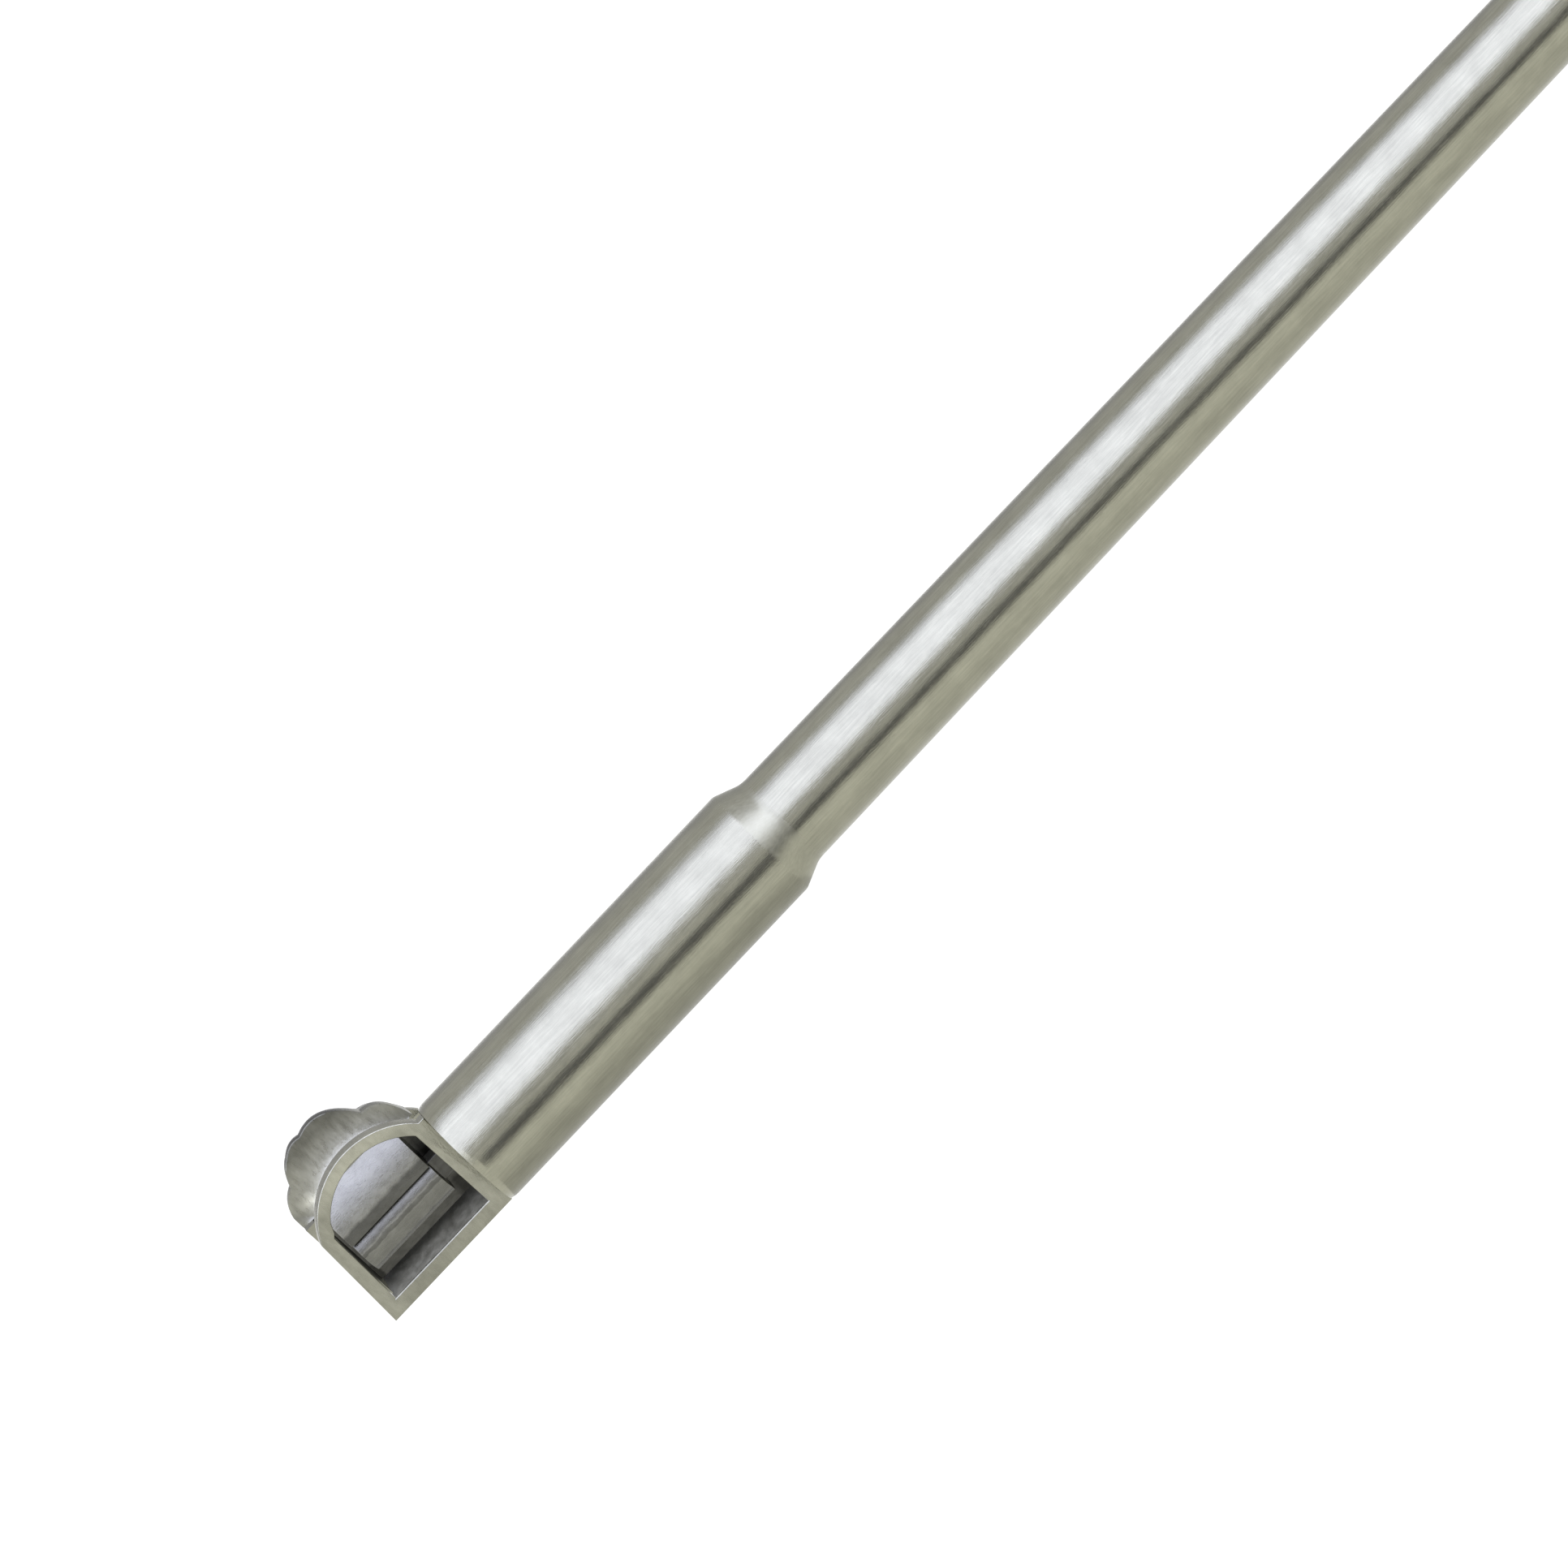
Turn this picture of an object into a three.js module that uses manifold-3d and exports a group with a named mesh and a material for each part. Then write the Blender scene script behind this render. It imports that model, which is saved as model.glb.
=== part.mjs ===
// Inoculating loop: a tapered metal handle with a thumb slide at its butt and a three-jaw clutch at its nose.
// Pushing the thumb slide towards the nose drives a draw rod forward against a spring, the jaws leave the
// nose's inner cone and open, and the wire loop on its shank can be pulled out.
// Millimetres. +X runs along the handle towards the loop, +Z is up, and the head's flat underside is z = 0.
// The origin is on that underside, below the handle's axis and midway along the head.
import * as THREE from "three";
import { mergeVertices } from "three/addons/utils/BufferGeometryUtils.js";
import Module from "manifold-3d";

const wasm = await Module();
wasm.setup();

// ---- driving dimensions ----
const NECK_RADIUS = 3.0;
const AXIS_Z = NECK_RADIUS; // the handle's axis stands one neck radius above the floor
const HEAD_LENGTH = 7.7;
const BUTT_X = -HEAD_LENGTH / 2;
const MOUTH_Y = -0.53; // plane of the head's front rim
const BACK_Y = 3.0;
const RIM_THICKNESS = 0.7; // front rim, along Y
const WALL = 0.8;
const FLOOR_TOP = 0.78;
const SHOULDER_Z = 6.0; // where the arch springs from the side walls
const ARCH_RISE = 1.6;
const ARCH_RIM = 0.82; // radial thickness of the arch
const ARCH_CROWN_X = BUTT_X + 4.16;
const ARCH_LEFT_BULGE_X = BUTT_X + 1.8; // the crown's curves bend round these two places
const ARCH_RIGHT_BULGE_X = BUTT_X + 7.1;
const WINDOW_SHOULDER_Z = 5.2;
const LEFT_DRAFT = 0.24; // the butt face leans in by this much at the shoulder
const POCKET_BACK_Y = 2.4;
const COVER_THICKNESS = 0.45;
const SLIDE_GAP = 0.12; // running clearance of the sliding pieces
const FIT_GAP = 0.05; // clearance of fixed pieces in each other
const SCREW_GAP = 0.02; // clearance of a cover screw or a crimp in its hole
const JOIN = 0.01; // overlap of two solids that are about to be joined
const BEYOND = 1; // how far a cutting solid stands out past what it cuts

const NECK_END_X = BUTT_X + 27.3;
const CONE_END_X = BUTT_X + 28.6;
const ROD_RADIUS_REAR = 2.48;
const ROD_END_X = BUTT_X + 165;
const TAPER_PER_MM = 0.00395; // radius lost per millimetre of rod
const ROD_RADIUS_FRONT = ROD_RADIUS_REAR - TAPER_PER_MM * (ROD_END_X - CONE_END_X);
const SPRING_BORE_RADIUS = 2.2;
const ROD_BORE_RADIUS = 1.3;
const DRAW_ROD_RADIUS = 0.6;

const NOSE_BACK_X = ROD_END_X - 6;
const NOSE_CYLINDER_X = NOSE_BACK_X + 2;
const NOSE_CONE_X = NOSE_CYLINDER_X + 14;
const NOSE_END_X = NOSE_CONE_X + 8.5;
const NOSE_MOUTH_RADIUS = 2.25;
const COLLET_BORE_RADIUS = 1.75;
const CLUTCH_SLOPE = 0.254; // radius gained per millimetre along the jaws' and the sleeve's cones
const CLUTCH_THROAT = 1.8; // the sleeve's cone starts this far inside the mouth
const THROAT_LENGTH = 3.8; // from the mouth back to the wider collet bore
const SLEEVE_CONE_RADIUS = 1.86;
const JAW_CONE_RADIUS = 1.78;
const JAW_ROOT_X = ROD_END_X + 6.2;
const JAW_END_X = NOSE_END_X + 0.9;
const JAW_SLOT = 0.3;
const SHANK_RADIUS = 0.5;
const SHANK_START_X = JAW_END_X - 8;
const SHANK_END_X = JAW_END_X + 7;
const FERRULE_END_X = SHANK_END_X + 3;
const WIRE_RADIUS = 0.23;
const LOOP_RADIUS = 1.75; // centre line of the wire ring
const LOOP_SWEEP_DEG = 330;
const LOOP_CENTRE_X = SHANK_END_X + 48;

const OUTER_ROUND = 40; // sides of a turned solid
const COLLET_ROUND = 36;
const ROUND = 32;
const SMALL_ROUND = 16;

// ---- solids ----
// A closed three.js geometry as a manifold-3d solid.
function solid(geometry) {
  const g = geometry.clone();
  g.deleteAttribute("normal");
  g.deleteAttribute("uv");
  const merged = mergeVertices(g, 1e-4);
  return new wasm.Manifold(
    new wasm.Mesh({
      numProp: 3,
      vertProperties: merged.attributes.position.array,
      triVerts: new Uint32Array(merged.index.array),
    }),
  );
}

// A manifold-3d solid as a three.js geometry.
function geometryOf(made) {
  const mesh = made.getMesh();
  const g = new THREE.BufferGeometry();
  g.setAttribute("position", new THREE.BufferAttribute(new Float32Array(mesh.vertProperties), 3));
  g.setIndex(new THREE.BufferAttribute(new Uint32Array(mesh.triVerts), 1));
  g.computeVertexNormals();
  return g;
}

function box(x0, x1, y0, y1, z0, z1) {
  const g = new THREE.BoxGeometry(x1 - x0, y1 - y0, z1 - z0);
  return solid(g.translate((x0 + x1) / 2, (y0 + y1) / 2, (z0 + z1) / 2));
}

// A solid of revolution about the handle's axis, from a closed list of [x, radius] points, anticlockwise.
function turned(points, segments = ROUND, y = 0, z = AXIS_Z) {
  const profile = points.map(([x, r]) => new THREE.Vector2(r, x));
  const g = new THREE.LatheGeometry([...profile, profile[0]], segments);
  return upright(g).translate([0, y, z]);
}

// Turns a geometry made about Y so that it lies about X.
function upright(g) {
  g.rotateZ(-Math.PI / 2);
  const made = solid(g);
  return made.volume() < 0 ? solid(flipped(g)) : made;
}

function flipped(g) {
  const turnedIndex = g.index.clone();
  for (let i = 0; i < turnedIndex.count; i += 3) {
    const first = turnedIndex.getX(i);
    turnedIndex.setX(i, turnedIndex.getX(i + 1));
    turnedIndex.setX(i + 1, first);
  }
  return g.clone().setIndex(turnedIndex);
}

const disc = (x0, x1, r, segments, y, z) =>
  turned([[x0, 0], [x1, 0], [x1, r], [x0, r]], segments, y, z);
const ring = (x0, x1, bore, r, segments, y, z) =>
  turned([[x0, bore], [x1, bore], [x1, r], [x0, r]], segments, y, z);

// A cylinder along Y (front to back) or along Z.
function pinY(x, z, y0, y1, r, segments = SMALL_ROUND) {
  const g = new THREE.CylinderGeometry(r, r, y1 - y0, segments);
  return solid(g.translate(x, (y0 + y1) / 2, z));
}
function pinZ(x, y, z0, z1, r, segments = SMALL_ROUND) {
  const g = new THREE.CylinderGeometry(r, r, z1 - z0, segments).rotateX(Math.PI / 2);
  return solid(g.translate(x, y, (z0 + z1) / 2));
}

// An outline in X and Z, extruded along Y from y0 to y1.
function plateY(shape, y0, y1, curveSegments = 12) {
  const g = new THREE.ExtrudeGeometry(shape, { depth: y1 - y0, bevelEnabled: false, curveSegments });
  return solid(g.rotateX(Math.PI / 2).translate(0, y1, 0));
}

// An outline in Y and Z, extruded along X from x0 to x1.
function barX(shape, x0, x1, curveSegments = 12) {
  const g = new THREE.ExtrudeGeometry(shape, { depth: x1 - x0, bevelEnabled: false, curveSegments });
  g.rotateZ(Math.PI / 2).rotateY(Math.PI / 2);
  return solid(g.translate(x0, 0, 0));
}

// ---- head ----
const RIGHT_X = BUTT_X + HEAD_LENGTH;
const ARCH_LEFT_X = BUTT_X + LEFT_DRAFT;
const ARCH_RIGHT_X = BUTT_X + 7.4;
const COVER_CROWN_Z = 7.0;
const COVER_RIGHT_Z = 5.0;

// An arched outline: straight sides up to two shoulders, and a crown between them.
function archOutline(leftZ, crownZ, rightX, rightZ, sideZ) {
  const shape = new THREE.Shape();
  shape.moveTo(BUTT_X, 0);
  shape.lineTo(RIGHT_X, 0);
  shape.lineTo(RIGHT_X, sideZ);
  shape.lineTo(rightX, rightZ);
  shape.quadraticCurveTo(ARCH_RIGHT_BULGE_X, crownZ, ARCH_CROWN_X, crownZ);
  shape.quadraticCurveTo(ARCH_LEFT_BULGE_X, crownZ, ARCH_LEFT_X, leftZ);
  shape.closePath();
  return shape;
}

const rimOutline = () =>
  archOutline(SHOULDER_Z, SHOULDER_Z + ARCH_RISE, ARCH_RIGHT_X, SHOULDER_Z + 0.1, SHOULDER_Z - 0.1);
const coverOutline = () =>
  archOutline(SHOULDER_Z - 0.15, COVER_CROWN_Z, RIGHT_X - 0.05, COVER_RIGHT_Z + 0.15, COVER_RIGHT_Z);

function windowOutline() {
  const left = BUTT_X + WALL;
  const right = RIGHT_X - WALL;
  const crown = SHOULDER_Z + ARCH_RISE - ARCH_RIM;
  const shape = new THREE.Shape();
  shape.moveTo(left, FLOOR_TOP);
  shape.lineTo(right, FLOOR_TOP);
  shape.lineTo(right, WINDOW_SHOULDER_Z);
  shape.quadraticCurveTo(right - 0.3, crown, ARCH_CROWN_X, crown);
  shape.quadraticCurveTo(left + 0.65, crown, left + 0.45, WINDOW_SHOULDER_Z + 0.2);
  shape.lineTo(left + 0.17, WINDOW_SHOULDER_Z - 0.25);
  shape.closePath();
  return shape;
}

const PLUG_END_X = RIGHT_X + 2.2;
const PLUG_WALL_X = RIGHT_X + 0.8;
const TANG_Y = [0.9, 1.9];
const TANG_Z = [2.5, 3.7];
const HEAD_PIN_X = RIGHT_X + 1.5;
const HEAD_PIN_RADIUS = 0.4;
const HEAD_PIN_Z = [0.08, AXIS_Z - SPRING_BORE_RADIUS + 0.5]; // from the neck's surface into the plug
const PLUG_WALL = 0.6;
const COVER_FRONT_Y = BACK_Y - COVER_THICKNESS;
const WALL_TOP_Z = SHOULDER_Z - 0.05;
const COVER_SCREWS = [
  [BUTT_X + WALL / 2 + 0.04, 1.4],
  [RIGHT_X - WALL / 2, 1.4],
  [BUTT_X + WALL / 2 + 0.14, 4.6],
  [RIGHT_X - WALL / 2, 4.6],
];
const SCREW_RADIUS = 0.22;
const SCREW_LENGTH = 1.4; // into the wall behind the cover
const SCREW_HEAD = { radius: 0.33, thickness: 0.16, below: 0.02 };
const SCREW_SEAT = { radius: 0.36, depth: 0.2 };
const SCREW_SLOT = { depth: 0.1, width: 0.1 };
const SCREW_SIDES = 12;

const headPinHole = () => pinZ(HEAD_PIN_X, 0, -BEYOND, 2, HEAD_PIN_RADIUS + FIT_GAP);

const HEAD_TOP = SHOULDER_Z + ARCH_RISE + BEYOND;

function headFrame() {
  const rimBack = MOUTH_Y + RIM_THICKNESS;
  const rim = plateY(rimOutline(), MOUTH_Y, rimBack);
  const behind = plateY(rimOutline(), rimBack - JOIN, COVER_FRONT_Y - FIT_GAP / 2);
  const aboveWalls = box(BUTT_X - BEYOND, RIGHT_X + BEYOND, MOUTH_Y, BACK_Y, WALL_TOP_Z, HEAD_TOP);
  const slope = new THREE.Shape(); // the right wall's top falls away to the back
  slope.moveTo(rimBack, SHOULDER_Z);
  slope.lineTo(BACK_Y, COVER_RIGHT_Z);
  slope.lineTo(BACK_Y, SHOULDER_Z + 1);
  slope.lineTo(rimBack, SHOULDER_Z + 1);
  slope.closePath();
  const walls = behind.subtract(aboveWalls).subtract(barX(slope, RIGHT_X - WALL - JOIN, RIGHT_X + BEYOND));
  const pocket = box(BUTT_X + WALL, RIGHT_X - WALL, rimBack, BACK_Y, FLOOR_TOP, HEAD_TOP);
  const plug = disc(RIGHT_X - JOIN, PLUG_END_X, SPRING_BORE_RADIUS - FIT_GAP);
  const plugBore = disc(PLUG_WALL_X, PLUG_END_X + BEYOND, SPRING_BORE_RADIUS - PLUG_WALL);
  const tangSlot = box(
    RIGHT_X - WALL - BEYOND, PLUG_END_X + BEYOND,
    TANG_Y[0] - SLIDE_GAP, TANG_Y[1] + SLIDE_GAP, TANG_Z[0] - SLIDE_GAP, TANG_Z[1] + SLIDE_GAP,
  );
  const window = plateY(windowOutline(), MOUTH_Y - BEYOND, rimBack + BEYOND);
  let made = rim.subtract(window).add(walls.subtract(pocket));
  made = made.add(plug.subtract(plugBore)).subtract(tangSlot);
  made = made.subtract(headPinHole());
  for (const [x, z] of COVER_SCREWS) {
    const tip = COVER_FRONT_Y - SCREW_LENGTH - HOLE_END;
    made = made.subtract(pinY(x, z, tip, BACK_Y + BEYOND, SCREW_RADIUS + SCREW_GAP, SCREW_SIDES));
  }
  return made;
}

const POCKET_LINER_Y = POCKET_BACK_Y + SLIDE_GAP;

function backCover() {
  const plate = plateY(coverOutline(), COVER_FRONT_Y, BACK_Y);
  const pad = box(
    BUTT_X + WALL + FIT_GAP, RIGHT_X - WALL - FIT_GAP,
    POCKET_LINER_Y, COVER_FRONT_Y + JOIN, FLOOR_TOP + FIT_GAP, COVER_RIGHT_Z,
  );
  let made = plate.add(pad);
  for (const [x, z] of COVER_SCREWS) {
    const hole = pinY(x, z, BACK_Y - BEYOND, BACK_Y + BEYOND, SCREW_RADIUS + SCREW_GAP, SCREW_SIDES);
    const seat = pinY(x, z, BACK_Y - SCREW_SEAT.depth, BACK_Y + BEYOND, SCREW_SEAT.radius, SCREW_SIDES);
    made = made.subtract(hole).subtract(seat);
  }
  return made;
}

function coverScrew([x, z]) {
  const top = BACK_Y - SCREW_HEAD.below;
  const under = top - SCREW_HEAD.thickness;
  const shank = pinY(x, z, COVER_FRONT_Y - SCREW_LENGTH, under + JOIN, SCREW_RADIUS, SCREW_SIDES);
  const head = pinY(x, z, under, top, SCREW_HEAD.radius, SCREW_SIDES);
  const half = SCREW_SLOT.width / 2;
  const slot = box(x - BEYOND, x + BEYOND, BACK_Y - SCREW_SLOT.depth, BACK_Y + BEYOND, z - half, z + half);
  return shank.add(head).subtract(slot);
}

function headPin() {
  return pinZ(HEAD_PIN_X, 0, HEAD_PIN_Z[0], HEAD_PIN_Z[1], HEAD_PIN_RADIUS);
}

// ---- thumb slide and slider block ----
const HOOD_BOTTOM_Z = WALL_TOP_Z + 0.2;
const HOOD_Y = [MOUTH_Y + RIM_THICKNESS + SLIDE_GAP, COVER_FRONT_Y - SLIDE_GAP];
// The lobes of the grip: each starts at a point, [distance from the butt face, height], and curves round a
// control point, [distance, height], to the next lobe's start.
const LOBES = [
  [0.26, 6.62, 0.47, 7.44],
  [1.2, 7.75, 1.51, 8.53],
  [2.02, 8.81, 2.59, 9.29],
  [3.16, 9.09, 4.7, 9.71],
  [5.9, 7.82, 7.04, 7.82],
];
const HOOD_END = [7.42, HOOD_BOTTOM_Z];
const BUTT_END_DEPTH = 1.3; // the hood's depth at its two ends
const NECK_END_DEPTH = 0.4;

function hoodOutline() {
  const shape = new THREE.Shape();
  shape.moveTo(BUTT_X + LOBES[0][0], HOOD_BOTTOM_Z);
  shape.lineTo(BUTT_X + LOBES[0][0], LOBES[0][1]);
  LOBES.forEach(([, , controlX, controlZ], i) => {
    const [x, z] = i + 1 < LOBES.length ? LOBES[i + 1] : HOOD_END;
    shape.quadraticCurveTo(BUTT_X + controlX, controlZ, BUTT_X + x, z);
  });
  shape.closePath();
  return shape;
}

// The hood seen from above: as deep as the head at its crown, and thin at the neck's end.
function hoodPlan() {
  const [front, back] = HOOD_Y;
  const shape = new THREE.Shape();
  shape.moveTo(BUTT_X, front - BEYOND);
  shape.lineTo(RIGHT_X, front - BEYOND);
  shape.lineTo(RIGHT_X, front + NECK_END_DEPTH);
  shape.quadraticCurveTo(BUTT_X + 6.6, back - 0.2, ARCH_CROWN_X, back);
  shape.quadraticCurveTo(BUTT_X + 1.5, back, BUTT_X, front + BUTT_END_DEPTH);
  shape.closePath();
  return shape;
}

const BLOCK_X = [BUTT_X + 1.1, BUTT_X + 6.2];
const BLOCK_BACK_Y = POCKET_BACK_Y;
const SLIDE_SCREW_Y = 1.8;
const SLIDE_SCREW_RADIUS = 0.35;
const SLIDE_SCREW_X = [BLOCK_X[0] + 1.0, BLOCK_X[1] - 1.0];
const SLIDE_SCREW_Z = [4.0, HOOD_BOTTOM_Z + 1.0];
const HOLE_END = 0.1; // a blind hole goes this much deeper than its screw

function slideScrewHoles() {
  const [bottom, top] = SLIDE_SCREW_Z;
  const radius = SLIDE_SCREW_RADIUS + FIT_GAP;
  const hole = (x) => pinZ(x, SLIDE_SCREW_Y, bottom - HOLE_END, top + HOLE_END, radius);
  return hole(SLIDE_SCREW_X[0]).add(hole(SLIDE_SCREW_X[1]));
}

// An outline in X and Y, extruded along Z.
function slabZ(shape, z0, z1) {
  const g = new THREE.ExtrudeGeometry(shape, { depth: z1 - z0, bevelEnabled: false, curveSegments: 10 });
  return solid(g.translate(0, 0, z0));
}

const HOOD_CREST_Z = 9.3;
const HOOD_BACK_Z = 8.2;
const CREST_DEPTH = 0.95; // from the hood's front to its highest line
const STEP_DEPTH = 0.28; // the ledge behind the arch
const STEP_TOP_Z = 7.95;
const BROW_DEPTH = 0.3; // the rounding just in front of the crest
const BROW_DROP = 0.2;

function thumbSlide() {
  const [front, back] = HOOD_Y;
  // The front steps back from the arch and rises to a crest, which falls away behind it.
  const section = new THREE.Shape();
  section.moveTo(front, HOOD_BOTTOM_Z - BEYOND);
  section.lineTo(back, HOOD_BOTTOM_Z - BEYOND);
  section.lineTo(back, HOOD_BACK_Z);
  section.quadraticCurveTo(back, HOOD_CREST_Z, front + CREST_DEPTH, HOOD_CREST_Z);
  section.lineTo(front + CREST_DEPTH - BROW_DEPTH, HOOD_CREST_Z - BROW_DROP);
  section.lineTo(front + STEP_DEPTH, STEP_TOP_Z);
  section.lineTo(front, SHOULDER_Z + ARCH_RISE);
  section.closePath();
  const full = plateY(hoodOutline(), front - BEYOND, back + BEYOND, 6);
  const shaped = full.intersect(barX(section, BUTT_X - BEYOND, RIGHT_X + BEYOND, 8));
  const plan = slabZ(hoodPlan(), HOOD_BOTTOM_Z - BEYOND, HOOD_CREST_Z + BEYOND);
  return shaped.intersect(plan).subtract(slideScrewHoles());
}

const TANG_END_X = PLUG_END_X + 0.2; // the slider's tang reaches just past the plug

// The slider's front is two rolls, a large one over a small one, that run along the handle.
const UPPER_ROLL = { y: HOOD_Y[0] + 3.9, z: 3.7, radius: 3.9 };
const LOWER_ROLL = { y: HOOD_Y[0] + 1.28, z: 2.88, radius: 1.22 };
const BLOCK_TOP_Z = HOOD_BOTTOM_Z - 0.08;

function sliderBlock() {
  const topAngle = Math.asin((BLOCK_TOP_Z - UPPER_ROLL.z) / UPPER_ROLL.radius);
  const stepAngle = Math.asin((UPPER_ROLL.z - LOWER_ROLL.z) / LOWER_ROLL.radius);
  const shape = new THREE.Shape();
  shape.moveTo(BLOCK_BACK_Y, BLOCK_TOP_Z);
  shape.absarc(UPPER_ROLL.y, UPPER_ROLL.z, UPPER_ROLL.radius, Math.PI - topAngle, Math.PI, false);
  shape.absarc(LOWER_ROLL.y, LOWER_ROLL.z, LOWER_ROLL.radius, Math.PI - stepAngle, Math.PI * 1.5, false);
  shape.lineTo(BLOCK_BACK_Y, LOWER_ROLL.z - LOWER_ROLL.radius);
  shape.closePath();
  const body = barX(shape, BLOCK_X[0], BLOCK_X[1]);
  const tang = box(BLOCK_X[1] - 1, TANG_END_X, TANG_Y[0], TANG_Y[1], TANG_Z[0], TANG_Z[1]);
  return body.add(tang).subtract(slideScrewHoles()).subtract(tangScrewHole());
}

function slideScrew(x) {
  return pinZ(x, SLIDE_SCREW_Y, SLIDE_SCREW_Z[0], SLIDE_SCREW_Z[1], SLIDE_SCREW_RADIUS);
}

// ---- clutch drive, inside the neck ----
const DISC_X = [TANG_END_X + FIT_GAP, TANG_END_X + 1.1];
const DISC_RADIUS = SPRING_BORE_RADIUS - SLIDE_GAP;
const TANG_SCREW = { y: 1.4, z: 3.1, radius: 0.25, length: 1.4 };
const ROD_NUT_X = [DISC_X[0] - 1.0, DISC_X[0] - FIT_GAP];
const ROD_NUT_RADIUS = 0.62; // across the corners
const THREAD_RADIUS = 0.25; // of the draw rod's threaded end
const SPRING_START_X = DISC_X[1] + FIT_GAP;
const SPRING_END_X = NECK_END_X - 3;
const SPRING_TURNS = 9;
const SPRING_RADIUS = 1.65;
const SPRING_WIRE = 0.25;

function tangScrewHole() {
  const { y, z, radius, length } = TANG_SCREW;
  return disc(TANG_END_X - length - HOLE_END, DISC_X[1] + BEYOND, radius + FIT_GAP, SCREW_SIDES, y, z);
}

function driveDisc() {
  return ring(DISC_X[0], DISC_X[1], DRAW_ROD_RADIUS + FIT_GAP, DISC_RADIUS).subtract(tangScrewHole());
}

function tangScrew() {
  const { y, z, radius, length } = TANG_SCREW;
  return disc(TANG_END_X - length, DISC_X[1] - 0.1, radius, SCREW_SIDES, y, z);
}

function rodNut() {
  const [start, end] = ROD_NUT_X;
  const hexagon = new THREE.CylinderGeometry(ROD_NUT_RADIUS, ROD_NUT_RADIUS, end - start, 6);
  hexagon.rotateZ(-Math.PI / 2).translate((start + end) / 2, 0, AXIS_Z);
  const bore = disc(start - BEYOND, end + BEYOND, THREAD_RADIUS + FIT_GAP, SCREW_SIDES);
  return solid(hexagon).subtract(bore);
}

const DRAW_ROD_END_X = JAW_ROOT_X - 1.2;

function drawRod() {
  return turned(
    [
      [ROD_NUT_X[0] - 0.2, 0],
      [DRAW_ROD_END_X, 0],
      [DRAW_ROD_END_X, DRAW_ROD_RADIUS],
      [DISC_X[0], DRAW_ROD_RADIUS],
      [DISC_X[0], THREAD_RADIUS],
      [ROD_NUT_X[0] - 0.2, THREAD_RADIUS],
    ],
    SMALL_ROUND,
  );
}

class Helix extends THREE.Curve {
  getPoint(t, target = new THREE.Vector3()) {
    const angle = t * SPRING_TURNS * 2 * Math.PI;
    const length = SPRING_END_X - SPRING_START_X - 2 * SPRING_WIRE;
    return target.set(
      SPRING_START_X + SPRING_WIRE + t * length,
      Math.cos(angle) * SPRING_RADIUS,
      AXIS_Z + Math.sin(angle) * SPRING_RADIUS,
    );
  }
}

function wireAlong(curve, radius, steps, sides) {
  const section = new THREE.Shape();
  for (let i = 0; i < sides; i++) {
    const a = (i / sides) * 2 * Math.PI;
    const point = [radius * Math.cos(a), radius * Math.sin(a)];
    if (i === 0) section.moveTo(...point);
    else section.lineTo(...point);
  }
  section.closePath();
  return solid(new THREE.ExtrudeGeometry(section, { steps, extrudePath: curve, curveSegments: 1 }));
}

const SEAT_X = [SPRING_END_X + FIT_GAP, SPRING_END_X + 2];

// ---- handle tube, its bushes and the nose ----
const TUBE_START_X = RIGHT_X + 0.03;
const BUSH_LENGTH = 4;
const BUSH_REAR_X = BUTT_X + 75;
const BUSH_FRONT_X = BUTT_X + 140;
const ROD_SLIDE_GAP = 0.05; // round the draw rod, in its bushes

function handleTube() {
  const made = turned([
    [TUBE_START_X, SPRING_BORE_RADIUS],
    [SEAT_X[1] + FIT_GAP, SPRING_BORE_RADIUS],
    [SEAT_X[1] + FIT_GAP, ROD_BORE_RADIUS],
    [ROD_END_X, ROD_BORE_RADIUS],
    [ROD_END_X, ROD_RADIUS_FRONT],
    [CONE_END_X, ROD_RADIUS_REAR],
    [NECK_END_X, NECK_RADIUS],
    [TUBE_START_X, NECK_RADIUS],
  ], OUTER_ROUND);
  return made.subtract(headPinHole());
}

function guideBush(x) {
  return ring(x, x + BUSH_LENGTH, DRAW_ROD_RADIUS + ROD_SLIDE_GAP, ROD_BORE_RADIUS - FIT_GAP, SMALL_ROUND);
}

function springSeat() {
  return ring(SEAT_X[0], SEAT_X[1], DRAW_ROD_RADIUS + ROD_SLIDE_GAP, SPRING_BORE_RADIUS - FIT_GAP);
}

function noseSleeve() {
  const socket = ROD_RADIUS_FRONT + 0.08;
  const throat = SLEEVE_CONE_RADIUS - CLUTCH_SLOPE * CLUTCH_THROAT;
  return turned([
    [NOSE_BACK_X, socket],
    [ROD_END_X + FIT_GAP, socket],
    [ROD_END_X + FIT_GAP, COLLET_BORE_RADIUS],
    [NOSE_END_X - THROAT_LENGTH - 0.4, COLLET_BORE_RADIUS],
    [NOSE_END_X - THROAT_LENGTH, throat],
    [NOSE_END_X - CLUTCH_THROAT, throat],
    [NOSE_END_X, SLEEVE_CONE_RADIUS],
    [NOSE_END_X, NOSE_MOUTH_RADIUS],
    [NOSE_CONE_X, NECK_RADIUS],
    [NOSE_CYLINDER_X, NECK_RADIUS],
    [NOSE_BACK_X, socket + 0.3],
  ], OUTER_ROUND);
}

const COLLET_RADIUS = 1.6;
const JAW_NECK_RADIUS = 1.15; // the springy part of a jaw, behind its cone
const JAW_BORE_RADIUS = 0.58;
const JAW_CONE_LENGTH = 2.4;
const COLLET_START_X = DRAW_ROD_END_X - 2.5;
const COLLET_END_X = JAW_ROOT_X - 0.25;

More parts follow.
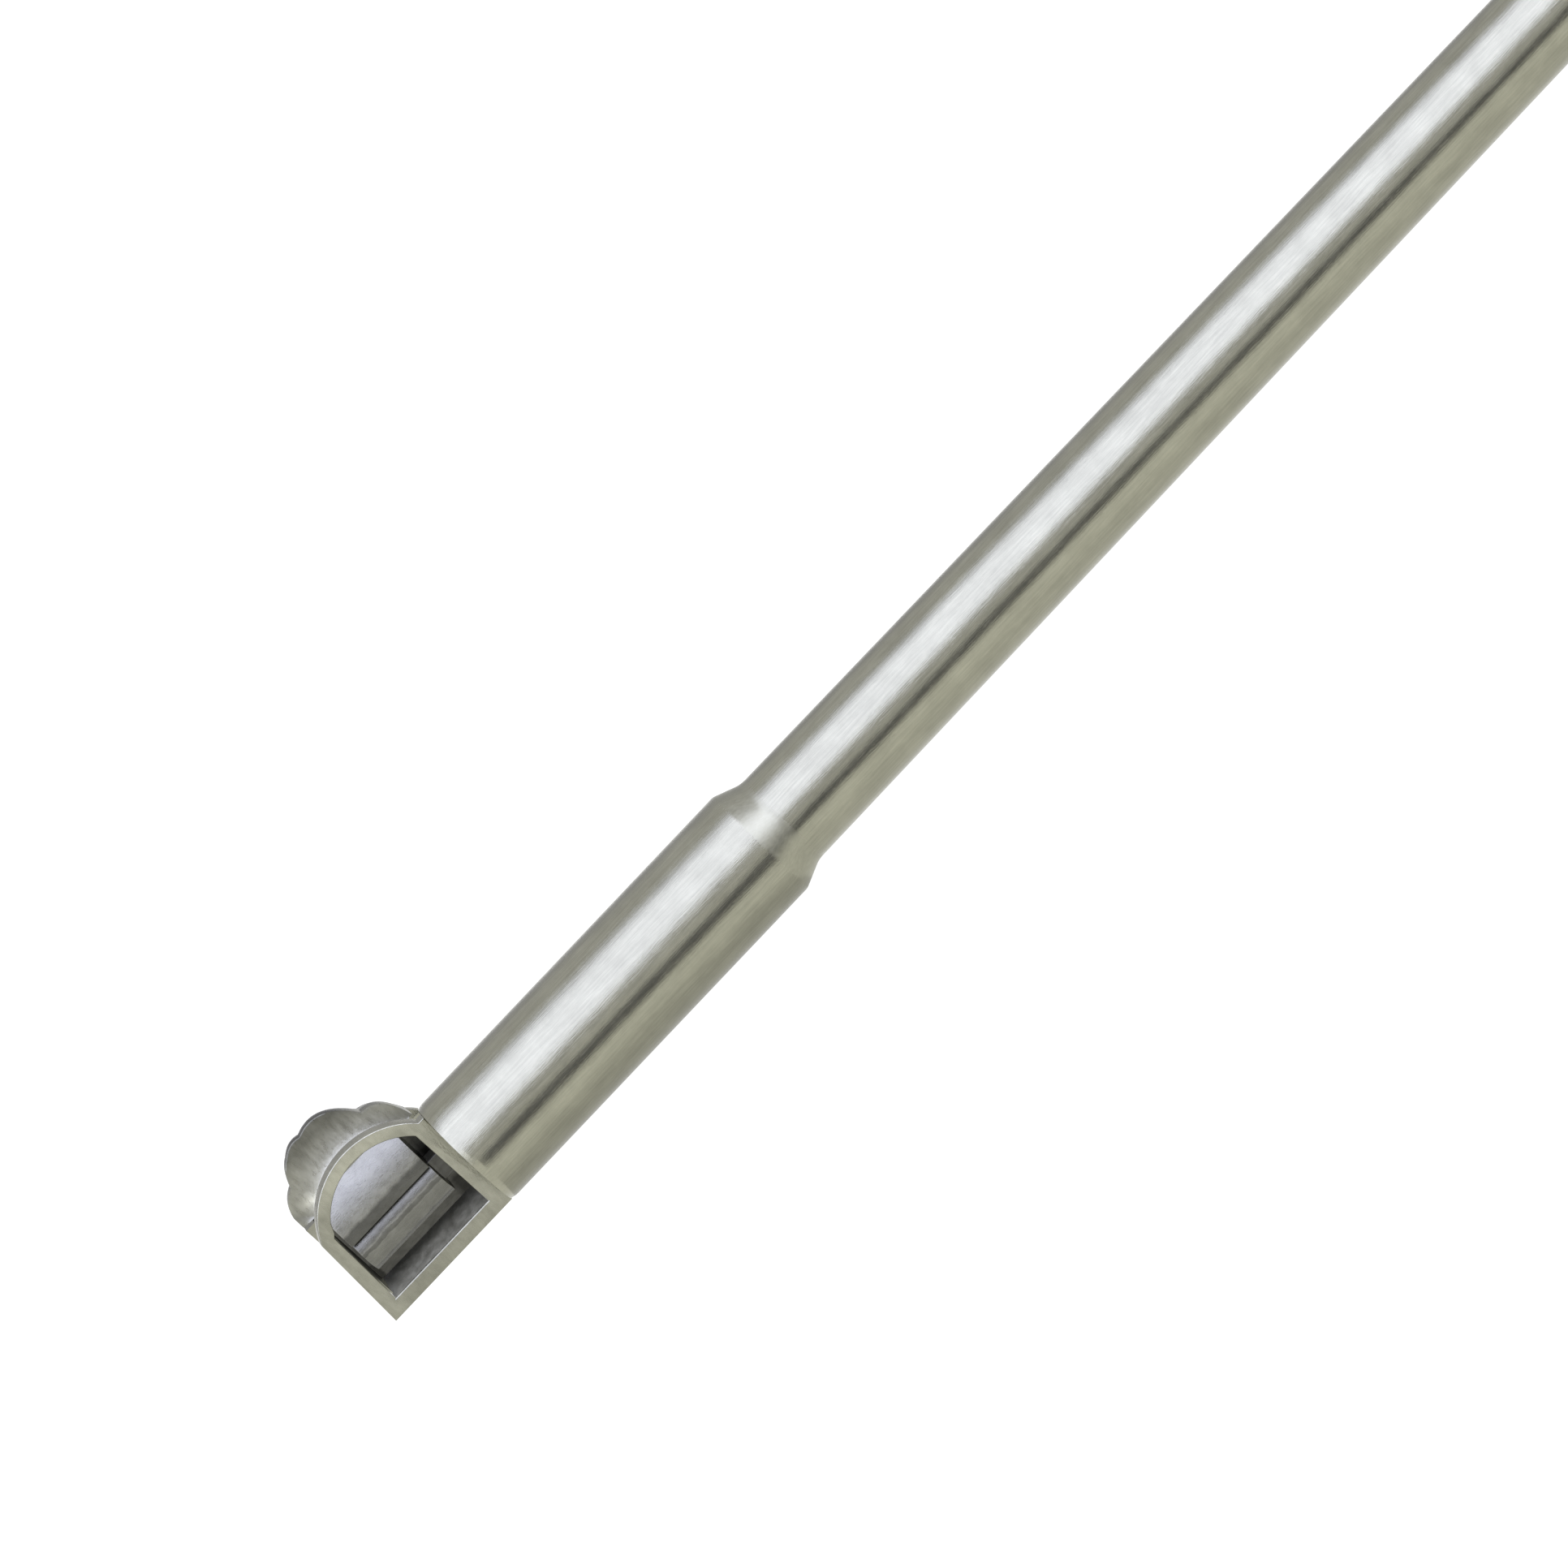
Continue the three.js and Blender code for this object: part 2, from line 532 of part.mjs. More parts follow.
function colletBody() {
  const socket = DRAW_ROD_RADIUS + SCREW_GAP;
  return turned([
    [COLLET_START_X, socket],
    [DRAW_ROD_END_X + FIT_GAP, socket],
    [DRAW_ROD_END_X + FIT_GAP, 0],
    [COLLET_END_X, 0],
    [COLLET_END_X, COLLET_RADIUS],
    [COLLET_START_X, COLLET_RADIUS],
  ], 24);
}

// One of the three jaws: a third of a turned collet, less half a slot on each side.
function colletJaw(index) {
  const collet = turned([
    [JAW_ROOT_X, JAW_BORE_RADIUS],
    [JAW_END_X, SHANK_RADIUS + 0.03],
    [JAW_END_X, JAW_CONE_RADIUS - 0.25],
    [JAW_END_X - 0.25, JAW_CONE_RADIUS],
    [NOSE_END_X, JAW_CONE_RADIUS],
    [NOSE_END_X - JAW_CONE_LENGTH, JAW_CONE_RADIUS - CLUTCH_SLOPE * JAW_CONE_LENGTH],
    [NOSE_END_X - THROAT_LENGTH, JAW_NECK_RADIUS],
    [JAW_ROOT_X + 1.5, JAW_NECK_RADIUS],
    [JAW_ROOT_X + 1.2, COLLET_RADIUS],
    [JAW_ROOT_X, COLLET_RADIUS],
  ], COLLET_ROUND);
  const third = Math.PI / 3;
  const apex = JAW_SLOT / 2 / Math.sin(third);
  const reach = 5;
  const sector = new THREE.Shape();
  sector.moveTo(apex, 0);
  sector.lineTo(apex + reach * Math.cos(third), reach * Math.sin(third));
  sector.lineTo(apex + reach, 0);
  sector.lineTo(apex + reach * Math.cos(third), -reach * Math.sin(third));
  sector.closePath();
  const wedge = new THREE.ExtrudeGeometry(sector, { depth: 30, bevelEnabled: false });
  wedge.rotateZ(Math.PI / 2).rotateY(Math.PI / 2).rotateX(index * 2 * third);
  return collet.intersect(solid(wedge.translate(JAW_ROOT_X - 5, 0, AXIS_Z)));
}

// ---- wire loop ----
function loopShank() {
  return turned([
    [SHANK_START_X, 0],
    [SHANK_END_X, 0],
    [SHANK_END_X, SHANK_RADIUS],
    [SHANK_START_X + 0.3, SHANK_RADIUS],
    [SHANK_START_X, SHANK_RADIUS - 0.2],
  ], SMALL_ROUND);
}

function wireFerrule() {
  const start = SHANK_END_X + FIT_GAP;
  const bore = WIRE_RADIUS + 0.03;
  return turned([
    [start, bore],
    [FERRULE_END_X, bore],
    [FERRULE_END_X, WIRE_RADIUS + 0.12],
    [FERRULE_END_X - 0.8, SHANK_RADIUS],
    [start, SHANK_RADIUS],
  ], SMALL_ROUND);
}

// The wire's centre line: straight out of the ferrule, then once round the ring.
class LoopPath extends THREE.Curve {
  getPoint(t, target = new THREE.Vector3()) {
    const start = SHANK_END_X + 3 * FIT_GAP;
    const straight = LOOP_CENTRE_X - LOOP_RADIUS - start;
    const turn = THREE.MathUtils.degToRad(LOOP_SWEEP_DEG);
    const total = straight + LOOP_RADIUS * turn;
    const run = t * total;
    if (run <= straight) return target.set(start + run, 0, AXIS_Z);
    const a = (run - straight) / LOOP_RADIUS;
    return target.set(
      LOOP_CENTRE_X - LOOP_RADIUS * Math.cos(a),
      -LOOP_RADIUS * Math.sin(a),
      AXIS_Z,
    );
  }
}

// ---- materials ----
const steel = () => new THREE.MeshStandardMaterial({ color: 0xa9a99b, metalness: 1, roughness: 0.32 });
const brightSteel = () => new THREE.MeshStandardMaterial({ color: 0xc4c6c4, metalness: 1, roughness: 0.22 });
const springSteel = () => new THREE.MeshStandardMaterial({ color: 0x8f9296, metalness: 1, roughness: 0.3 });
const brass = () => new THREE.MeshStandardMaterial({ color: 0xb9a05a, metalness: 1, roughness: 0.35 });
const nichrome = () => new THREE.MeshStandardMaterial({ color: 0x9d9a92, metalness: 1, roughness: 0.3 });

// ---- assembly ----
function piece(name, made, material) {
  const mesh = new THREE.Mesh(geometryOf(made), material);
  mesh.name = name;
  return mesh;
}

const handle = new THREE.Group();
handle.add(
  piece("head_frame", headFrame(), steel()),
  piece("back_cover", backCover(), steel()),
  piece("head_pin", headPin(), brightSteel()),
  piece("handle_tube", handleTube(), steel()),
  piece("spring_seat", springSeat(), brass()),
  piece("return_spring", wireAlong(new Helix(), SPRING_WIRE, SPRING_TURNS * 12, 6), springSteel()),
  piece("guide_bush_rear", guideBush(BUSH_REAR_X), brass()),
  piece("guide_bush_front", guideBush(BUSH_FRONT_X), brass()),
  piece("nose_sleeve", noseSleeve(), steel()),
);
COVER_SCREWS.forEach((place, i) => {
  handle.add(piece("cover_screw_" + (i + 1), coverScrew(place), brightSteel()));
});

const plunger = new THREE.Group();
plunger.add(
  piece("thumb_slide", thumbSlide(), steel()),
  piece("slider_block", sliderBlock(), brightSteel()),
  piece("drive_disc", driveDisc(), brass()),
  piece("tang_screw", tangScrew(), brightSteel()),
  piece("rod_nut", rodNut(), brass()),
  piece("draw_rod", drawRod(), brightSteel()),
  piece("collet_body", colletBody(), brass()),
);
SLIDE_SCREW_X.forEach((x, i) => {
  plunger.add(piece("slide_screw_" + (i + 1), slideScrew(x), brightSteel()));
});
for (let i = 0; i < 3; i++) {
  plunger.add(piece("collet_jaw_" + (i + 1), colletJaw(i), brightSteel()));
}

const loop = new THREE.Group();
loop.add(
  piece("loop_shank", loopShank(), brightSteel()),
  piece("wire_ferrule", wireFerrule(), brightSteel()),
  piece("loop_wire", wireAlong(new LoopPath(), WIRE_RADIUS, 80, 8), nichrome()),
);

const part = new THREE.Group();
part.add(handle, plunger, loop);

export default part;
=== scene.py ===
"""Looks of the inoculating loop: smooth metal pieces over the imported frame, a white floor and soft light."""

import math

import bmesh
import bpy
from mathutils import Matrix, Vector


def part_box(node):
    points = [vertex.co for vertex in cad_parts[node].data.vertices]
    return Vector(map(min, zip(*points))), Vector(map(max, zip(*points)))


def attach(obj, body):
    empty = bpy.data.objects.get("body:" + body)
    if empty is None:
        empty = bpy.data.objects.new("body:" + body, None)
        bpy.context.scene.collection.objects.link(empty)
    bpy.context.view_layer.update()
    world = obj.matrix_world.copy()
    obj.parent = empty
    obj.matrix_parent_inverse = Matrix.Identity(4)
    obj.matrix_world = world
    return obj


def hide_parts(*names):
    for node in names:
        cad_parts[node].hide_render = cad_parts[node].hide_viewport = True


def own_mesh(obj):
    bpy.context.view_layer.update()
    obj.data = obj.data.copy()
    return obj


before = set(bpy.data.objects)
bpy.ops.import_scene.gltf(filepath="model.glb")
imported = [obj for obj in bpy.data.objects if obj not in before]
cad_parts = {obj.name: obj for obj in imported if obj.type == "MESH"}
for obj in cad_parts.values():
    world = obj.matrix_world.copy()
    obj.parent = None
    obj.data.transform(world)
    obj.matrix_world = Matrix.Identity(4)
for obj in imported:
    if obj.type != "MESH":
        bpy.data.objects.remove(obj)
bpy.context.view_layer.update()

MM = 0.001


def box_mm(node):
    low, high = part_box(node)
    return [c / MM for c in low], [c / MM for c in high]


# ---- sizes, in millimetres, from the frame and a few driving dimensions ----
head_low, head_high = box_mm("head_frame")
tube_low, tube_high = box_mm("handle_tube")
nose_low, nose_high = box_mm("nose_sleeve")
BUTT_X = head_low[0]
NECK_GAP = 0.03
RIGHT_X = tube_low[0] - NECK_GAP
NECK_RADIUS = (tube_high[1] - tube_low[1]) / 2
AXIS_Z = (tube_high[2] + tube_low[2]) / 2
MOUTH_Y = -0.53
RIM_THICKNESS = 0.7
BACK_Y = box_mm("back_cover")[1][1]
WALL = 0.8
FLOOR_TOP = 0.78
WINDOW_SHOULDER_Z = 5.37
POCKET_BACK_Y = 2.4
COVER_THICKNESS = 0.45
SLIDE_GAP = 0.12
FIT_GAP = 0.05
WALL_TOP_Z = 5.95
HOOD_GAP = 0.09
HOOD_BOTTOM_Z = WALL_TOP_Z + HOOD_GAP
ARCH_RISE = 4.4
ARCH_CENTRE = (BUTT_X + 4.05, head_high[2] - ARCH_RISE)
ARCH_RADIUS = 4.25
COVER_RADIUS = 4.4
WINDOW_RADIUS = 3.6
COVER_FRONT_Y = BACK_Y - COVER_THICKNESS

NECK_END_X = BUTT_X + 27.3
CONE_END_X = BUTT_X + 28.6
ROD_RADIUS_REAR = 2.48
PLUNGER_FRONT_Y = box_mm("thumb_slide")[0][1]
ROD_END_X = tube_high[0]
TAPER_PER_MM = 0.00395
ROD_RADIUS_FRONT = ROD_RADIUS_REAR - TAPER_PER_MM * (ROD_END_X - CONE_END_X)
SPRING_BORE_RADIUS = 2.2
ROD_BORE_RADIUS = 1.3


# ---- materials ----
def node_of(tree, kind, **values):
    node = tree.nodes.new(kind)
    for name, value in values.items():
        node.inputs[name.replace("_", " ")].default_value = value
    return node


def metal(name, color, roughness, grain=(500, 9000, 9000), bump=0.3, blotch=0.1, streak=0.12):
    """Brushed metal: fine scratches, streaks of tone along the grain, and slow changes of tone."""
    mat = bpy.data.materials.new(name)
    mat.use_nodes = True
    tree = mat.node_tree
    links = tree.links
    shader = tree.nodes["Principled BSDF"]
    shader.inputs["Metallic"].default_value = 1.0
    coords = tree.nodes.new("ShaderNodeTexCoord")
    along = tree.nodes.new("ShaderNodeMapping")
    along.inputs["Scale"].default_value = grain
    streaks = node_of(tree, "ShaderNodeTexNoise", Scale=1.0, Detail=4.0, Roughness=0.65)
    fine = tree.nodes.new("ShaderNodeMapping")
    fine.inputs["Scale"].default_value = [g * 3 for g in grain]
    scratches = node_of(tree, "ShaderNodeTexNoise", Scale=1.0, Detail=3.0, Roughness=0.6)
    cloud = node_of(tree, "ShaderNodeTexNoise", Scale=700.0, Detail=4.0, Roughness=0.6)
    links.new(coords.outputs["Object"], along.inputs["Vector"])
    links.new(coords.outputs["Object"], fine.inputs["Vector"])
    links.new(along.outputs["Vector"], streaks.inputs["Vector"])
    links.new(fine.outputs["Vector"], scratches.inputs["Vector"])
    links.new(coords.outputs["Object"], cloud.inputs["Vector"])
    clouded = tree.nodes.new("ShaderNodeMixRGB")
    clouded.inputs["Color1"].default_value = (*[c * (1 - blotch) for c in color], 1)
    clouded.inputs["Color2"].default_value = (*[c * (1 + blotch) for c in color], 1)
    links.new(spread(tree, cloud.outputs["Fac"], 0.3, 0.7, 0.0, 1.0), clouded.inputs["Fac"])
    links.new(clouded.outputs["Color"], shader.inputs["Base Color"])
    multiplied(mat, spread(tree, streaks.outputs["Fac"], 0.25, 0.75, 1 - streak, 1 + streak))
    rough = spread(tree, streaks.outputs["Fac"], 0.3, 0.7, roughness * 0.8, roughness * 1.25)
    links.new(rough, shader.inputs["Roughness"])
    relief = node_of(tree, "ShaderNodeBump", Strength=bump, Distance=0.00002)
    links.new(scratches.outputs["Fac"], relief.inputs["Height"])
    links.new(relief.outputs["Normal"], shader.inputs["Normal"])
    return mat


def spread(tree, value, low, high, to_low, to_high):
    """A value mapped from one range to another, clamped."""
    ranged = node_of(tree, "ShaderNodeMapRange", From_Min=low, From_Max=high, To_Min=to_low, To_Max=to_high)
    tree.links.new(value, ranged.inputs["Value"])
    return ranged.outputs["Result"]


def multiplied(mat, factor):
    """Multiplies a material's tone by the value of a node."""
    tree = mat.node_tree
    tone = tree.nodes["Principled BSDF"].inputs["Base Color"]
    mix = tree.nodes.new("ShaderNodeMixRGB")
    mix.blend_type = "MULTIPLY"
    mix.inputs["Fac"].default_value = 1.0
    tree.links.new(tone.links[0].from_socket, mix.inputs["Color1"])
    tree.links.new(factor, mix.inputs["Color2"])
    tree.links.new(mix.outputs["Color"], tone)


def painted_light_bands(mat, bands, axis="Z", plateau=0.35):
    """Paints light and shade into a material's tone, in bands along an axis: (middle in mm, half width in mm,
    tone) each.
    """
    tree = mat.node_tree
    place_on_axis = rippled(tree, axis)
    for middle, half, tone in bands:
        multiplied(mat, band_of(tree, place_on_axis, middle, half, plateau, tone, 1.0))
    return mat


SPOT_PLATEAU = 0.15


def painted_highlight_spot(mat, x, z, tone):
    """Paints a highlight: brightens a spot of a material; x and z are each (middle in mm, half width in mm).
    """
    tree = mat.node_tree
    across = band_of(tree, rippled(tree, "X"), *x, SPOT_PLATEAU, tone - 1.0, 0.0)
    upwards = band_of(tree, rippled(tree, "Z"), *z, SPOT_PLATEAU, 1.0, 0.0)
    multiplied(mat, arithmetic(tree, "ADD", arithmetic(tree, "MULTIPLY", across, upwards), 1.0))


def roughened(mat, middle, half, added, axis="X"):
    """Makes a material rougher in a band along an axis."""
    tree = mat.node_tree
    shader = tree.nodes["Principled BSDF"]
    rough = shader.inputs["Roughness"].links[0].from_socket
    band = band_of(tree, rippled(tree, axis), middle, half, 0.8, added, 0.0)
    tree.links.new(arithmetic(tree, "ADD", rough, band), shader.inputs["Roughness"])
    return mat


RIPPLE = 0.08 * MM


def rippled(tree, axis):
    """A place along an axis, with a small ripple so that bands have uneven edges."""
    coords = tree.nodes.new("ShaderNodeTexCoord")
    axes = tree.nodes.new("ShaderNodeSeparateXYZ")
    ripple = node_of(tree, "ShaderNodeTexNoise", Scale=1500.0, Detail=3.0, Roughness=0.6)
    tree.links.new(coords.outputs["Object"], axes.inputs["Vector"])
    tree.links.new(coords.outputs["Object"], ripple.inputs["Vector"])
    wave = spread(tree, ripple.outputs["Fac"], 0.2, 0.8, -RIPPLE, RIPPLE)
    return arithmetic(tree, "ADD", axes.outputs[axis], wave)


def band_of(tree, value, middle, half, plateau, inside, outside):
    """One value within a band and another outside it; plateau is the share of the band that is level."""
    offset = arithmetic(tree, "SUBTRACT", value, middle * MM)
    distance = arithmetic(tree, "ABSOLUTE", offset)
    return spread(tree, distance, half * plateau * MM, half * MM, inside, outside)


def arithmetic(tree, operation, first, second=None):
    node = tree.nodes.new("ShaderNodeMath")
    node.operation = operation
    tree.links.new(first, node.inputs[0])
    if isinstance(second, float):
        node.inputs[1].default_value = second
    elif second is not None:
        tree.links.new(second, node.inputs[1])
    return node.outputs["Value"]


SATIN = roughened(
    metal("satin_nickel", (0.30, 0.297, 0.225), 0.2, bump=0.3, blotch=0.07, streak=0.12),
    (NECK_END_X + CONE_END_X) / 2 + 0.1, 0.85, 0.14,
)
# Painted light: the head's metal is lighter in a band round the arch's top, and towards its left and right
# posts.
HEAD_METAL = painted_light_bands(
    metal("cast_nickel", (0.248, 0.246, 0.193), 0.27, (4000, 4000, 1500), 0.5, 0.13, 0.12),
    [(6.95, 0.9, 1.4)],
)
painted_light_bands(HEAD_METAL, [(RIGHT_X - 0.4, 0.7, 1.17), (BUTT_X + 0.4, 0.7, 1.06)], "X", 0.7)
# Painted light and shade on the hood: lighter low down by the arch, darker at its top, on its surfaces behind
# the front face, at its left edge and towards its right.
HOOD_METAL = painted_light_bands(
    painted_light_bands(
        metal("hood_nickel", (0.236, 0.234, 0.187), 0.3, (5000, 5000, 1200), 0.5, 0.13, 0.14),
        [(7.3, 0.8, 1.33), (9.1, 1.0, 0.6)],
    ),
    [(PLUNGER_FRONT_Y + 1.6, 1.15, 0.68)], "Y", 0.9,
)
painted_light_bands(HOOD_METAL, [(BUTT_X + 0.6, 1.0, 0.92), (BUTT_X + 7.2, 3.2, 0.75)], "X", 0.3)
# Painted highlight on the hood's left, just above the arch's shoulder.
painted_highlight_spot(HOOD_METAL, (BUTT_X + 1.35, 0.7), (6.65, 0.5), 2.0)
# Painted shade: dark bands along the slider's front, in the step between its rolls, across the lower roll and
# under it.
SLIDER_METAL = painted_light_bands(
    metal("steel_painted_shade", (0.24, 0.239, 0.205), 0.28, (2500, 9000, 9000), 0.5, 0.14, 0.14),
    [(3.95, 0.45, 0.42), (3.4, 0.3, 0.62), (2.97, 0.14, 0.55), (2.42, 0.6, 0.68), (1.85, 0.3, 0.45)],
    "Z", 0.6,
)
# Painted shade in the pocket: a darker copy of the head's metal, darker still by the side walls and near the
# floor.
POCKET_METAL = painted_light_bands(
    metal("pocket_steel", (0.20, 0.198, 0.17), 0.4, (2000, 6000, 6000), 0.5, 0.25, 0.3),
    [(RIGHT_X - 0.4, 1.3, 0.4), (BUTT_X + 0.8, 0.3, 0.4)], "X", 0.7,
)
painted_light_bands(POCKET_METAL, [(1.1, 0.75, 0.4)], "Z", 0.7)
# The pocket floor's darker tone is painted shade.
FLOOR_METAL = metal("pocket_floor", (0.19, 0.19, 0.17), 0.5, (2500, 1500, 6000), 0.5, 0.15, 0.3)
FLOOR_METAL.node_tree.nodes["Principled BSDF"].inputs["Metallic"].default_value = 0.35
INNER = metal("ground_steel", (0.32, 0.318, 0.27), 0.26, (3000, 12000, 12000), 0.4, 0.12)
SCREW = metal("screw_steel", (0.5, 0.5, 0.48), 0.25, (9000, 9000, 9000), 0.2)
BRASS = metal("brass", (0.62, 0.46, 0.2), 0.25, (600, 9000, 9000), 0.2)
SPRING = metal("spring_steel", (0.36, 0.37, 0.38), 0.3, (9000, 9000, 9000), 0.1)
WIRE = metal("nichrome", (0.42, 0.39, 0.35), 0.28, (900, 20000, 20000), 0.15, 0.2)


# ---- mesh helpers, all in millimetres ----
def quadratic(p0, control, p1, count):
    """Points of a quadratic curve, without its first."""
    points = []
    for i in range(1, count + 1):
        t = i / count
        a, b, c = (1 - t) ** 2, 2 * t * (1 - t), t * t
        points.append(tuple(a * p0[k] + b * control[k] + c * p1[k] for k in range(2)))
    return points


def arc(centre, radius, start_deg, end_deg, steps):
    """Points of a circular arc, both ends among them."""
    angles = [math.radians(start_deg + (end_deg - start_deg) * i / steps) for i in range(steps + 1)]
    return [(centre[0] + radius * math.cos(a), centre[1] + radius * math.sin(a)) for a in angles]


def rounded(points, closed=True, steps=4):
    """Rounds the corners of [a, b, radius] points with short curves."""
    out = []
    count = len(points)
    for i, (a, b, radius) in enumerate(points):
        if radius <= 0 or (not closed and i in (0, count - 1)):
            out.append((a, b))
            continue
        here = Vector((a, b))
        before = Vector(points[i - 1][:2]) - here
        after = Vector(points[(i + 1) % count][:2]) - here
        start = here + before.normalized() * min(radius, before.length * 0.45)
        end = here + after.normalized() * min(radius, after.length * 0.45)
        out.append(tuple(start))
        out.extend(quadratic(tuple(start), (a, b), tuple(end), steps))
    return out


def finished(name, mesh, material, sharp_deg=32):
    """An object of a mesh in millimetres, scaled to metres and shaded smooth between sharp edges."""
    mesh.transform(Matrix.Scale(MM, 4))
    mesh.shade_smooth()
    mesh.set_sharp_from_angle(angle=math.radians(sharp_deg))
    obj = bpy.data.objects.new(name, mesh)
    bpy.context.scene.collection.objects.link(obj)
    mesh.materials.clear()
    mesh.materials.append(material)
    return obj


def place(obj, body, slot, *nodes):
    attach(obj, body)
    if nodes:
        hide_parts(*nodes)


def mesh_of(bm, name):
    bmesh.ops.recalc_face_normals(bm, faces=bm.faces)
    mesh = bpy.data.meshes.new(name)
    bm.to_mesh(mesh)
    bm.free()
    return mesh


def turned(name, profile, segments=96, relief=None):
    """A closed [x, radius] profile turned about the handle's axis; relief(x, angle) cuts inwards."""
    bm = bmesh.new()
    rings = []
    for x, r in profile:
        if r < 1e-6:
            rings.append([bm.verts.new((x, 0.0, AXIS_Z))])
            continue
        ring = []
        for i in range(segments):
            a = 2 * math.pi * i / segments
            reach = r - (relief(x, a) if relief else 0.0)
            ring.append(bm.verts.new((x, reach * math.cos(a), AXIS_Z + reach * math.sin(a))))
        rings.append(ring)
    for k, ring in enumerate(rings):
        after = rings[(k + 1) % len(rings)]
        if len(ring) == 1 and len(after) == 1:
            continue
        for i in range(segments):
            j = (i + 1) % segments
            corners = [ring[i % len(ring)], ring[j % len(ring)], after[j % len(after)], after[i % len(after)]]
            unique = list(dict.fromkeys(corners))
            if len(unique) > 2:
                bm.faces.new(unique)
    return mesh_of(bm, name)


def prism(name, outline, low, high, along="Y"):
    """A closed outline extruded along an axis: (x, z) points along Y, (y, z) points along X."""
    bm = bmesh.new()

    def corner(point, depth):
        if along == "Y":
            return (point[0], depth, point[1])
        return (depth, point[0], point[1])

    first = [bm.verts.new(corner(p, low)) for p in outline]
    last = [bm.verts.new(corner(p, high)) for p in outline]
    count = len(outline)
    bm.faces.new(first)
    bm.faces.new(last)
    for i in range(count):
        j = (i + 1) % count
        bm.faces.new([first[i], first[j], last[j], last[i]])
    return mesh_of(bm, name)


def block(name, x, y, z):
    """A box's mesh; x, y and z are each (low, high)."""
    corners = [(x[0], z[0]), (x[1], z[0]), (x[1], z[1]), (x[0], z[1])]
    return prism(name, corners, y[0], y[1])


def combined(mesh, others):
    """A mesh joined with or cut by others, each given as (operation, mesh)."""
    base = bpy.data.objects.new("base", mesh)
    bpy.context.scene.collection.objects.link(base)
    for operation, other in others:
        tool = bpy.data.objects.new("tool", other)
        bpy.context.scene.collection.objects.link(tool)
        step = base.modifiers.new("step", "BOOLEAN")
        step.operation = operation
        step.solver = "EXACT"
        step.object = tool
        evaluated = base.evaluated_get(bpy.context.evaluated_depsgraph_get())
        base.data = bpy.data.meshes.new_from_object(evaluated)
        base.modifiers.clear()
        bpy.data.objects.remove(tool)
    made = base.data
    bpy.data.objects.remove(base)
    bm = bmesh.new()
    bm.from_mesh(made)
    bmesh.ops.remove_doubles(bm, verts=bm.verts, dist=0.004)
    bmesh.ops.dissolve_limit(bm, angle_limit=math.radians(0.5), verts=bm.verts, edges=bm.edges)
    bm.to_mesh(made)
    bm.free()
    return made


SHARP_DEG = 35


def softened(obj, width_mm, segments=3, angle=SHARP_DEG):
    """Rounds an object's sharp edges with modifiers, which leave its mesh as it is."""
    bevel = obj.modifiers.new("edges", "BEVEL")
    bevel.width = width_mm * MM
    bevel.segments = segments
    bevel.limit_method = "ANGLE"
    bevel.angle_limit = math.radians(angle)
    bevel.harden_normals = False
    normals = obj.modifiers.new("normals", "WEIGHTED_NORMAL")
    normals.keep_sharp = False


def bevelled(mesh, width, chosen):
    """Rounds the sharp edges that a test picks by their two ends, in millimetres."""
    bm = bmesh.new()
    bm.from_mesh(mesh)
    edges = [
        edge for edge in bm.edges
        if len(edge.link_faces) == 2 and edge.calc_face_angle(0) > math.radians(SHARP_DEG)
        and all(chosen(vert.co) for vert in edge.verts)
    ]
    bmesh.ops.bevel(
        bm, geom=edges, offset=width, segments=4, profile=0.5, affect="EDGES", clamp_overlap=True,
    )
    bm.to_mesh(mesh)
    bm.free()
    return mesh


def pin(name, low, high, radius, at, segments=32):
    """A plain cylinder's mesh along Y, used as a cutter or as part of a screw."""
    angles = [2 * math.pi * i / segments for i in range(segments)]
    ring = [(at[0] + radius * math.cos(a), at[1] + radius * math.sin(a)) for a in angles]
    return prism(name, ring, low, high)


# ---- head ----
RIM_RIGHT_Z = 5.85
ARCH_DEG = (38.5, 153)
WALL_INSET = 0.26
WALL_LEFT_RISE = 1.93
COVER_RIGHT_Z = 4.9
COVER_ARC_Z = 2.6
COVER_DEG = (35, 153.5)
WINDOW_END_DEG = 139.5
WINDOW_WEAR = 0.12
RIM_WEAR = 0.06
POCKET_SLOPE_Z = 4.75
ABOVE = 12.0
BEYOND = 1.0
TANG_Y = (0.9, 1.9)
TANG_Z = (2.5, 3.7)
SLOT_Y = (TANG_Y[0] - SLIDE_GAP, TANG_Y[1] + SLIDE_GAP)
SLOT_Z = (TANG_Z[0] - SLIDE_GAP, TANG_Z[1] + SLIDE_GAP)
PLUG_LENGTH = 2.2
PLUG_FLOOR = 0.8
PLUG_WALL = 0.6


def arch_outline():
    """The front rim's outer edge."""
    bottom = [(BUTT_X, 0.0), (RIGHT_X, 0.0), (RIGHT_X, RIM_RIGHT_Z)]
    return bottom + arc(ARCH_CENTRE, ARCH_RADIUS, *ARCH_DEG, 60)


def wall_outline():
    """The side walls' outer edge behind the rim."""
    left = BUTT_X + WALL_INSET
    top = [(RIGHT_X, WALL_TOP_Z), (left, WALL_TOP_Z), (left, ARCH_CENTRE[1] + WALL_LEFT_RISE)]
    return [(BUTT_X, 0.0), (RIGHT_X, 0.0)] + top


def cover_outline():
    right = RIGHT_X - FIT_GAP
    bottom = [(BUTT_X, 0.0), (right, 0.0), (right, COVER_RIGHT_Z)]
    return bottom + arc((ARCH_CENTRE[0], COVER_ARC_Z), COVER_RADIUS, *COVER_DEG, 60)


